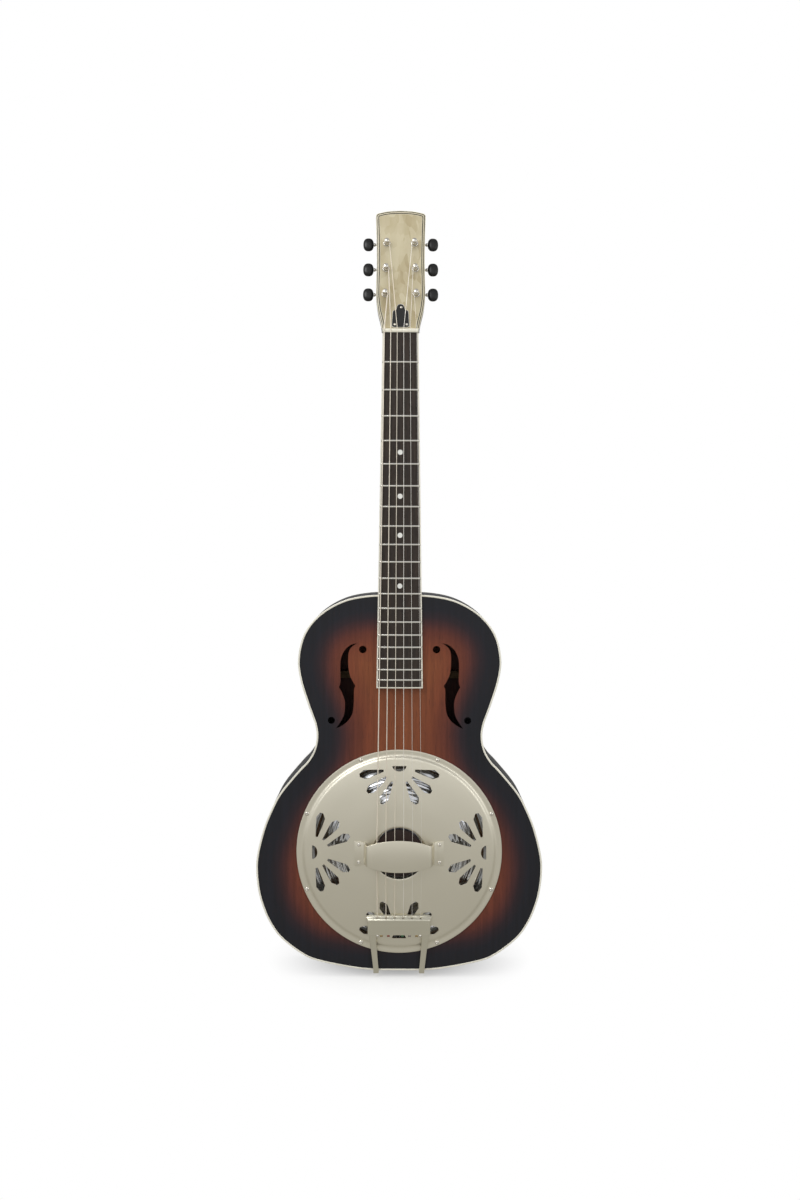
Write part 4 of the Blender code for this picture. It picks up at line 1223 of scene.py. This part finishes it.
def make_neck():
    edge = head_run(0.0)
    edge[[0, -1], 1] = -0.0010
    head = on(HEAD, plate([edge, *head_holes()], -HEAD_THICK, -FACE_THICK - SEAM / 3))
    wood = combined(on(FRONT, neck_shaft()), head, "UNION")
    make_piece("neck_wood", wood, NECK_WOOD, "body_wood", replaces=["neck"], crease=45, bevel=0.0004)
    right = [(0.0140, JOIN_Z + 0.0007), (0.0128, 0.3240), (0.0080, 0.3285)]
    left = [(-u, v) for u, v in right[::-1]]
    cap = worn(np.array([*right, (0, 0.3302), *left]), 0.15, 2)
    heel = on(FRONT, plate([cap], HEEL_FLAT - 0.0022, HEEL_FLAT))
    heel_cap = ["heel_cap"]
    make_piece("heel_plate", heel, BLACK_PLASTIC, "black_plastic", replaces=heel_cap, bevel=0.0004)


make_neck()

# %% [markdown]
# ## Fretboard
# The board's front is part of a cylinder, so that barred chords lie under a slightly bent finger. A
# section with a round top is carried along the board, which also widens towards the body and drops
# to the top there. The binding runs down both sides and across the end, so it is a section carried
# round a U.

# %% Fretboard and its binding
BOARD_BINDING = 0.0016


def board_underside(v):
    return np.where(v < JOIN_Z, TOP_W + SEAM / 3, board_surface(v) - BOARD_THICK)


def make_board():
    start = BOARD_END + BOARD_BINDING + SEAM / 6
    above = np.linspace(JOIN_Z + SEAM, NUT_Z - SEAM / 3, 60)
    v = np.concatenate([np.linspace(start, JOIN_Z - SEAM, 20), above])
    half = (board_half(v) - BOARD_BINDING - SEAM / 6)[:, None]
    share = np.linspace(-1, 1, 21)
    u = np.hstack([half * share, half, -half])
    front = board_surface(v)[:, None] - crown(half * share)
    under = np.broadcast_to(board_underside(v)[:, None], (len(v), 2))
    board = on(FRONT, loft(u, v[:, None], np.hstack([front, under])))
    make_piece("board", board, ROSEWOOD, "fretboard", replaces=["fretboard"])


def board_edge(inset):
    """The board's edge as a U: down the treble side, across the end and up the bass side."""
    lower = np.linspace(JOIN_Z - SEAM, BOARD_END + inset, 16)
    v = np.concatenate([np.linspace(NUT_Z - SEAM / 3, JOIN_Z + SEAM, 40), lower])
    side = np.column_stack([board_half(v) - inset, v])
    end = np.column_stack([np.linspace(1, -1, 25)[1:-1] * side[-1, 0], np.full(23, BOARD_END + inset)])
    return np.vstack([side, end, side[::-1] * (-1, 1)])


def make_board_binding():
    rows = []
    outside = ((0.0, 0.0), (0.0, 0.93), (0.0001, 0.98), (0.0004, 1.0))
    for inset, share in (*outside, (BOARD_BINDING, 1.0), (BOARD_BINDING, 0.0)):
        edge = board_edge(inset)
        low = board_underside(edge[:, 1])
        high = board_surface(edge[:, 1]) - crown(edge[:, 0])
        rows.append(np.column_stack([edge, low + share * (high - low)]))
    rows = np.stack(rows).transpose(1, 0, 2)
    band = on(FRONT, grid(rows, close_columns=True, caps=True))
    make_piece("board_binding", band, CREAM, "binding", replaces=["fretboard_binding"], crease=50)


make_board()
make_board_binding()
print("fretboard")

# %% [markdown]
# ## Frets, dots and nut
# Each fret stands at the place that its note asks for: the string is shortened by the twelfth root
# of two for every fret. The wire's crown is half an ellipse carried across the board's round, and
# it dips at both ends, where the maker files it. The nut's top is a row of slots, one groove for
# each string, as deep as the string is thick.

# %% Frets, dots and nut
FRET_COUNT = 19
FRET_HEIGHT = 0.0011
NUT_PROFILE = (  # place along the neck, share of the height
    (0.0, 0.0), (0.0, 0.90), (0.0003, 0.97), (0.0010, 1.0), (0.0030, 0.985), (0.0043, 0.93),
    (0.0048, 0.80), (0.0048, 0.0),
)


def fret_place(number):
    return NUT_Z - SCALE_LENGTH * (1 - 2 ** (-number / 12))


def make_fret(number):
    v = fret_place(number)
    half = board_half(v) - 0.0005
    u = half * np.sin(np.linspace(-math.pi / 2, math.pi / 2, 31))[:, None]
    angle = np.linspace(0, math.pi, 9)
    filed = np.clip((half - abs(u)) / 0.0011, 0, 1) ** 0.6
    width = np.concatenate([0.00125 * np.cos(angle), [-0.0004, 0.0004]])
    rise = np.concatenate([FRET_HEIGHT * np.sin(angle), [-0.0008, -0.0008]])
    lifted = np.where(rise > 0, rise * filed, rise)
    wire = on(FRONT, loft(u, v + width, board_surface(v) - crown(u) + lifted))
    make_piece(f"fret_{number}", wire, FRET_NICKEL, "bright_metal", crease=60)


def make_dot(number):
    v = (fret_place(number) + fret_place(number - 1)) / 2
    ring = np.linspace(0, 0.0031, 6)[:, None]
    angle = full_turn(40)
    u, along = ring * np.cos(angle), ring * np.sin(angle)
    face = np.stack([u, v + along, board_surface(v + along) - crown(u) + 0.00006], axis=-1)
    disc = grid(np.concatenate([face, face[-1:] - (0, 0, 0.0012)]), close_columns=True)
    make_piece(f"dot_{number}", on(FRONT, disc), PEARL, "pearl")


def make_nut():
    u = np.linspace(-NUT_HALF, NUT_HALF, 361)[:, None]
    profile = np.array(NUT_PROFILE)
    base = float(board_surface(NUT_Z) - BOARD_THICK)
    places = (np.arange(6) - 2.5) * NUT_SPACING
    width = np.array(STRING_RADII) * 1.15 + 0.00004
    groove = np.sqrt(np.clip(1 - ((u - places) / width) ** 2, 0, 1)).max(axis=1, keepdims=True)
    top = NUT_TOP + 0.0006 - 0.00058 * groove - 0.4 * crown(u)
    slotted = on(FRONT, loft(u, NUT_Z + profile[:, 0], base + profile[:, 1] * (top - base)))
    make_piece("bone_nut", slotted, BONE, "bone", replaces=["nut"])


for fret in range(1, FRET_COUNT + 1):
    make_fret(fret)
for dot in (5, 7, 9, 12):
    make_dot(dot)
make_nut()
print("first fret at", round(NUT_Z - fret_place(1), 4), "m from the nut")

# %% [markdown]
# ## Headstock
# A thin pearloid face is glued to the wood, and its edge is a sandwich of layers. The edge is a
# band whose points know how far in they lie, so the finish can draw the layers. The bell cover
# hides the truss rod's nut: black over white, so that its bevelled edge shows as a white line.

# %% Headstock face, layered edge and bell cover
EDGE_WIDTH = 0.0046
BELL_HALF = (
    (0.0110, 0.0012), (0.0104, 0.0110), (0.0098, 0.0205), (0.0090, 0.0226), (0.0058, 0.0230),
    (0.0050, 0.0255), (0.0044, 0.0284), (0.0027, 0.0303),
)
BELL_TOP = (0.0, 0.0309)
BELL_STEP, BELL_FACE = 0.0012, 0.0021


def make_headstock():
    face = head_run(EDGE_WIDTH + SEAM / 6)
    face[[0, -1], 1] = SEAM
    window = rectangle(-0.0042, 0.0020, 0.0042, 0.0262)
    overlay = on(HEAD, plate([face, window, *head_holes()], -FACE_THICK, 0.0))
    make_piece("pearloid_face", overlay, PEARLOID, "pearl", replaces=["headstock_face"])
    outside = ((0.0, -FACE_THICK), (0.0, -0.0004), (0.0001, -0.0001), (0.0004, 0.0))
    section = (*outside, (EDGE_WIDTH, 0.0), (EDGE_WIDTH, -FACE_THICK))
    rows = [at_height(head_run(inset), height) for inset, height in section]
    band = on(HEAD, grid(np.stack(rows).transpose(1, 0, 2), close_columns=True, caps=True))
    binding = ["headstock_binding"]
    edge = make_piece("layered_head_edge", band, LAYERED, "binding", replaces=binding, crease=50)
    flat = placed(vertex_places(edge), HEAD.inverted())[:, :2]
    outer = head_run(0.0)
    inwards = np.linalg.norm(flat[:, None] - outer, axis=-1).min(axis=1) / EDGE_WIDTH
    set_attribute(edge, "inwards", np.clip(inwards, 0, 1))


def bell(inset):
    half = np.array(BELL_HALF)
    loop = np.vstack([half, [BELL_TOP], (half * (-1, 1))[::-1]])
    middle = np.array((0.0, 0.0140))
    grown = worn(loop, 0.12, 2)
    return middle + (grown - middle) * (1 - inset / np.array((0.0110, 0.0150)))


def make_bell_cover():
    white = on(HEAD, plate([bell(0.0)], SEAM / 3, BELL_STEP))
    make_piece(
        "bell_cover_edge", white, WHITE_PLASTIC, "black_plastic", replaces=["truss_rod_cover"], bevel=0.0002
    )
    black = on(HEAD, plate([bell(0.0006)], BELL_STEP, BELL_FACE))
    make_piece("bell_cover", black, BLACK_PLASTIC, "black_plastic", bevel=0.0003)
    for number, (u, v) in enumerate(((0.0008, 0.0262), (-0.0070, 0.0048), (0.0076, 0.0048))):
        make_screw(f"bell_screw_{number}", moved(HEAD, u, v, BELL_FACE), 0.0016, 0.0008)


make_headstock()
make_bell_cover()
print("headstock")

# %% [markdown]
# ## Tuning machines
# A knob turns a worm, and the worm turns a gear on the foot of the string post, fifteen times more
# slowly. The worm is a shaft whose radius swells along a helix, and the gear's edge is a wave of
# fifteen teeth. The button is a flattened egg: its half width and half thickness follow rounded
# curves along the shaft.

# %% Posts, gears, worms and buttons
WORM_RISE = 0.0052
WORM_W = -0.0173
WORM_PITCH = 0.0013
TEETH = 15
POST_SIDE = (
    (0.0020, 0.0105), (0.0027, 0.0101), (0.0030, 0.0093), (0.0029, 0.0080), (0.0026, 0.0071),
    (0.0025, 0.0056), (0.0026, 0.0042), (0.0030, 0.0034),
)
FERRULE = ((0.0034, 0.0009), (0.0036, 0.0013), (0.0042, 0.0011), (0.0047, 0.0004), (0.0048, 0.0001))


def make_post(number, side, u, v):
    place, body = moved(HEAD, side * u, v), f"post_{number}"
    foot = [(0.0030, -HEAD_THICK), (0.0021, -HEAD_THICK), (0.0021, -0.0198), (0, -0.0198)]
    profile = np.vstack([[(0, 0.0105)], smooth_run(POST_SIDE, 32), foot])
    string_hole = tube(((-0.004, 0, 0), (0.004, 0, 0)), 0.0007, 12, (0, 0, 1))
    post = combined(turned(profile, 40), on(Matrix.Translation((0, 0, 0.0088)), string_hole))
    string_post = [f"string_post_{number}"]
    make_piece(
        f"post_shaft_{number}", on(place, post), BRIGHT_NICKEL, "bright_metal", body, string_post, crease=40
    )
    angle = full_turn(TEETH * 10)
    reach = 0.0031 + 0.00028 * np.clip(1.6 * np.cos(TEETH * angle), -1, 1)
    teeth = np.column_stack([reach * np.cos(angle), reach * np.sin(angle)])
    gear = on(place, plate([teeth, circle(0, 0, 0.0021, 24)], -0.0193, -0.0154))
    make_piece(f"gear_{number}", gear, BRASS, "bright_metal", body, bevel=0.0001)
    inside = [(0.0048, 0.00002), (0.0036, 0.00002), (0.0036, -0.0020)]
    profile = np.vstack([[(0.0034, -0.0020)], smooth_run(FERRULE, 14), inside])
    ferrule = on(place, turned(profile, 40, closed=True))
    make_piece(f"bushing_{number}", ferrule, BRIGHT_NICKEL, "bright_metal", crease=50)


def make_knob(number, side, u, v):
    place, body = moved(HEAD, 0, v + WORM_RISE, WORM_W), f"knob_{number}"
    x = np.linspace(u - 0.0072, 0.0330, 150)[:, None]
    angle = full_turn(28)
    threaded = np.clip((0.0036 - abs(x - u)) / 0.0006, 0, 1)
    collar = np.clip(1 - abs(x - 0.0322) / 0.0012, 0, 1) ** 0.5
    helix = np.clip(np.cos(angle - 2 * math.pi * (x - u) / WORM_PITCH) + 0.2, 0, 1)
    reach = 0.00150 + 0.00042 * threaded * helix
    reach = reach + 0.0009 * collar
    worm = on(place, loft(side * x, reach * np.cos(angle), reach * np.sin(angle)))
    make_piece(f"worm_shaft_{number}", worm, BRIGHT_NICKEL, "bright_metal", body, crease=60)
    share = np.sin(np.linspace(-math.pi / 2, math.pi / 2, 33))[:, None]
    angle = full_turn(48)
    half_v = 0.00815 * np.clip(1 - abs(share) ** 2.5, 0, 1) ** (1 / 2.3)
    half_w = 0.0034 * np.clip(1 - abs(share) ** 3.2, 0, 1) ** (1 / 2.4)
    round_v, round_w = [np.sign(turn) * abs(turn) ** 0.85 for turn in (np.cos(angle), np.sin(angle))]
    along = side * (0.0396 + 0.0065 * np.broadcast_to(share, (33, 48)))
    egg = np.stack([along, half_v * round_v, half_w * round_w], axis=-1)
    button = on(place, grid(egg, close_columns=True))
    knob = [f"tuner_knob_{number}"]
    make_piece(f"button_{number}", button, BLACK_PLASTIC, "black_plastic", body, knob, crease=70)


def make_machine_plate(side, word):
    low, high = -HEAD_THICK - SEAM / 3 - 0.0009, -HEAD_THICK - SEAM / 3
    edges = sorted((side * 0.0105, side * 0.0268))
    base = worn(rectangle(edges[0], 0.0330, edges[1], 0.1270), 0.03, 2)
    holes = [circle(side * u, v, 0.0025, 24) for u, v in POSTS]
    base = on(HEAD, plate([base, *holes], low, high))
    tuner_plate = [f"tuner_plate_{word}"]
    make_piece(
        f"machine_plate_{word}", base, BRIGHT_NICKEL, "bright_metal", replaces=tuner_plate, bevel=0.0002
    )
    for number, (u, v) in enumerate(POSTS):
        middle = v + WORM_RISE
        for end, which in ((-0.00545, "in"), (0.00545, "out")):
            ear = worn(rectangle(WORM_W - 0.0030, middle - 0.0030, low + 0.0001, middle + 0.0030), 0.12, 2)
            start = side * (u + end) - 0.00075
            points, faces = plate([ear, circle(WORM_W, middle, 0.0018, 20)], start, start + 0.0015)
            bearing = placed(points[:, [2, 1, 0]], HEAD), faces
            name = f"bearing_{word}_{number}_{which}"
            make_piece(name, bearing, BRIGHT_NICKEL, "bright_metal", bevel=0.0002)
    for number, v in enumerate((0.0355, 0.0640, 0.0965, 0.1245)):
        place = HEAD @ Matrix.Translation((side * 0.0140, v, low)) @ Matrix.Rotation(math.pi, 4, "Y")
        make_screw(f"machine_screw_{word}_{number}", place, 0.0017, 0.0009)


for side, word, numbers in ((-1, "bass", (6, 5, 4)), (1, "treble", (1, 2, 3))):
    make_machine_plate(side, word)
    for number, (u, v) in zip(numbers, POSTS):
        make_post(number, side, u, v)
        make_knob(number, side, u, v)
print("6 tuning machines")

# %% [markdown]
# ## Strings
# A string leaves its post, bends over the nut and the saddle, goes through the lip of the tailpiece
# and ends at its ball. It is a tube on that route, straight from the saddle to the tailpiece's lip.
# Each point's distance along the string is kept, because the winding of the thick strings is drawn
# along it.

# %% Strings and their windings on the posts
def string_route(order, side, post):
    radius = STRING_RADII[order]
    place = order - 2.5
    rest = NUT_TOP + radius
    beside = placed([(side * (post[0] - 0.0025 - radius), post[1], 0.0058)], HEAD)[0]
    nut_u, saddle_u, tail_u = [place * gap for gap in (NUT_SPACING, SADDLE_SPACING, TAIL_SPACING)]
    bends = placed([
        (nut_u, NUT_END - 0.0004, rest - 0.00005), (nut_u, NUT_Z + 0.0012, rest + 0.0001),
        (saddle_u, 0.0016, SADDLE_TOP + radius), (saddle_u, -0.0016, SADDLE_TOP + radius),
    ], FRONT)
    tail = placed([
        (tail_u, -0.0760, 0.0980), (tail_u, -0.0835, 0.0970),
        (place * 0.0094, -0.0920, 0.0958), (place * 0.0087, -0.1005, 0.0951),
    ], FRONT)
    share = np.linspace(0, 1, 14)[1:-1, None]
    after = bends[3] + share * (tail[0] - bends[3])
    return np.vstack([beside, bends, after, tail])


def string_winding(order, side, post):
    """A helix (R cos a, R sin a, falling) round the post, from where the string meets it."""
    radius = STRING_RADII[order]
    turns = 2.1 if radius > 0.0003 else 3.6
    turn = np.linspace(0, turns * 2 * math.pi, int(turns * 40))
    angle = math.pi - turn if side > 0 else turn
    reach = 0.00252 + radius * (0.9 + 0.25 * np.sin(turn * 0.37) ** 2)
    fall = 0.0058 - 0.95 * 2 * radius * np.clip(turn / (2 * math.pi), 0, 1.45)
    u, v = side * post[0], post[1]
    path = np.column_stack([u + reach * np.cos(angle), v + reach * np.sin(angle), fall])
    return tube(placed(path, HEAD), radius, 10, tuple(HEAD.to_3x3().col[2]))


def make_string(order, side, post):
    number, radius = 6 - order, STRING_RADII[order]
    finish = WOUND_WIRE if order < 3 else PLAIN_WIRE
    route = string_route(order, side, post)
    length = np.concatenate([[0], np.cumsum(np.linalg.norm(np.diff(route, axis=0), axis=1))])
    wire, node_name = tube(route, radius, 12), [f"string_{number}"]
    string = make_piece(f"wire_{number}", wire, finish, "string_metal", None, node_name, crease=70)
    set_attribute(string, "string_length", np.repeat(length, 12))
    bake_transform(string)
    coil = string_winding(order, side, post)
    winding = make_piece(f"winding_{number}", coil, finish, "string_metal", f"post_{number}", crease=70)
    count = len(winding.data.vertices)
    along = np.repeat(np.linspace(0, 0.04, count // 10), 10)
    set_attribute(winding, "string_length", np.resize(along, count))
    return length[-1]


lengths = [
    make_string(order, -1 if order < 3 else 1, post) for order, post in enumerate((*POSTS, *POSTS[::-1]))
]
print("strings", [round(length, 3) for length in lengths], "m")

# %% [markdown]
# ## What shows inside
# Through the f-holes and the petals one sees plain wood: linings, blocks, braces and the well that
# carries the cone. These keep the frame's own solids and get their finishes here, as do the truss
# rod and the saddle.

# %% Finishes of the frame's own solids
FRAME_FINISHES = {
    "back_lining": PALE_WOOD, "top_lining": PALE_WOOD, "neck_block": PALE_WOOD, "tail_block": PALE_WOOD,
    "top_brace": BRACE_WOOD, "back_brace_upper": BRACE_WOOD, "back_brace_lower": BRACE_WOOD,
    "soundwell": PALE_WOOD, "biscuit": BISCUIT_WOOD, "saddle": MAPLE,
    "truss_rod": STEEL, "truss_rod_nut": BRASS,
}
for name, finish in FRAME_FINISHES.items():
    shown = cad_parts[name]
    shown.data.materials.clear()
    shown.data.materials.append(finish)
print(len(FRAME_FINISHES), "frame solids finished")

# %% [markdown]
# ## Stage
# The guitar stands on its strap pin on a pale floor in an even studio. The surroundings are
# brightest a little above the horizon and darker towards the zenith and the ground, which is what
# gives satin metal its slow change from light to dark. The camera sees them as plain white, and the
# floor too, but for a soft shadow round the foot. The light over the guitar doesn't show in its
# mirrors, so the dome keeps its shading.

# %% Floor, surroundings, lights and camera
def shader_mix(tree, share, first, second):
    return node(tree, "ShaderNodeMixShader", {0: share, 1: first, 2: second}).outputs[0]


def camera_ray(tree):
    """One where the camera looks at the surface itself, nought for every other ray."""
    return node(tree, "ShaderNodeLightPath").outputs["Is Camera Ray"]


FLOOR_REACH = 8.0
FLOOR_GAP = 0.0004
SHADOW_REACH = 0.17  # metres round the foot within which the camera sees the floor's own shading


def make_floor():
    level = cad_box[0].z - FLOOR_GAP
    corners = [(FLOOR_REACH * x, FLOOR_REACH * y, level) for x, y in ((-1, -1), (1, -1), (1, 1), (-1, 1))]
    floor = new_object("floor", corners, [(0, 1, 2, 3)])
    material, tree, shader, place = new_finish("pale_floor", (0.92, 0.92, 0.92), 0.9)
    shader.inputs["Specular IOR Level"].default_value = 0.1
    mottle = mixed(tree, noise(tree, place, 3.0), (0.90, 0.90, 0.90), (0.94, 0.94, 0.94))
    tree.links.new(mottle, shader.inputs["Base Color"])
    flat = vector_maths(tree, "MULTIPLY", {0: place, 1: (1.0, 1.0, 0.0)})
    far = stretch_range(tree, vector_maths(tree, "LENGTH", {0: flat}, "Value"), 0.0, SHADOW_REACH)
    white = node(tree, "ShaderNodeEmission", {"Color": (1, 1, 1, 1), "Strength": 1.0}).outputs[0]
    dim = node(tree, "ShaderNodeEmission", {"Color": (0.38, 0.37, 0.34, 1), "Strength": 1.0}).outputs[0]
    seen = shader_mix(tree, far, shader.outputs[0], white)
    surface = tree.nodes["Material Output"].inputs["Surface"]
    tree.links.new(shader_mix(tree, camera_ray(tree), dim, seen), surface)
    floor.data.materials.append(material)


def make_surroundings():
    world = bpy.data.worlds.new("studio")
    bpy.context.scene.world = world
    world.use_nodes = True
    tree = world.node_tree
    tree.nodes.clear()
    direction = node(tree, "ShaderNodeTexCoord").outputs["Generated"]
    up = node(tree, "ShaderNodeSeparateXYZ", {"Vector": direction}).outputs["Z"]
    stops = ((0.0, 0.25), (0.40, 0.40), (0.50, 0.66), (0.60, 0.84), (0.72, 0.70), (0.88, 0.42))
    tones = ramp(tree, stretch_range(tree, up, -1.0, 1.0), stops)
    soft = node(tree, "ShaderNodeBackground", {"Color": tones, "Strength": 0.95}).outputs[0]
    plain = node(tree, "ShaderNodeBackground", {"Color": (1, 1, 1, 1), "Strength": 1.0}).outputs[0]
    output = node(tree, "ShaderNodeOutputWorld")
    tree.links.new(shader_mix(tree, camera_ray(tree), soft, plain), output.inputs["Surface"])


def make_light(name, place, aim, size, power, glossy=True):
    light = bpy.data.lights.new(name, "AREA")
    light.size = size
    light.energy = power
    lamp = bpy.data.objects.new(name, light)
    lamp.location = place
    lamp.rotation_euler = (Vector(place) - Vector(aim)).to_track_quat("Z", "Y").to_euler()
    lamp.visible_glossy = glossy
    bpy.context.scene.collection.objects.link(lamp)


CAMERA_DISTANCE, CAMERA_RISE = 1.60, math.radians(2.94)
CAMERA_LENS, CAMERA_ROLL = 39.5, math.radians(-0.15)
AIM_HEIGHT = 0.3089


def make_camera():
    camera = bpy.data.cameras.new("camera")
    camera.lens = CAMERA_LENS
    eye = bpy.data.objects.new("camera", camera)
    back, up = CAMERA_DISTANCE * math.cos(CAMERA_RISE), CAMERA_DISTANCE * math.sin(CAMERA_RISE)
    eye.location = (0.0, -TOP_W - back, AIM_HEIGHT + up)
    eye.rotation_euler = (math.pi / 2 - CAMERA_RISE, CAMERA_ROLL, 0)
    bpy.context.scene.collection.objects.link(eye)
    bpy.context.scene.camera = eye


make_floor()
make_surroundings()
make_light("key", (-1.3, -2.4, 2.0), (0, 0, 0.25), 1.4, 26)
make_light("fill", (1.7, -2.1, 0.9), (0, 0, 0.2), 1.2, 5)
make_light("ceiling", (0.0, -0.4, 2.6), (0, 0, 0), 2.4, 44, glossy=False)
make_camera()
bpy.context.scene.view_settings.view_transform = "Standard"
print("stage ready")
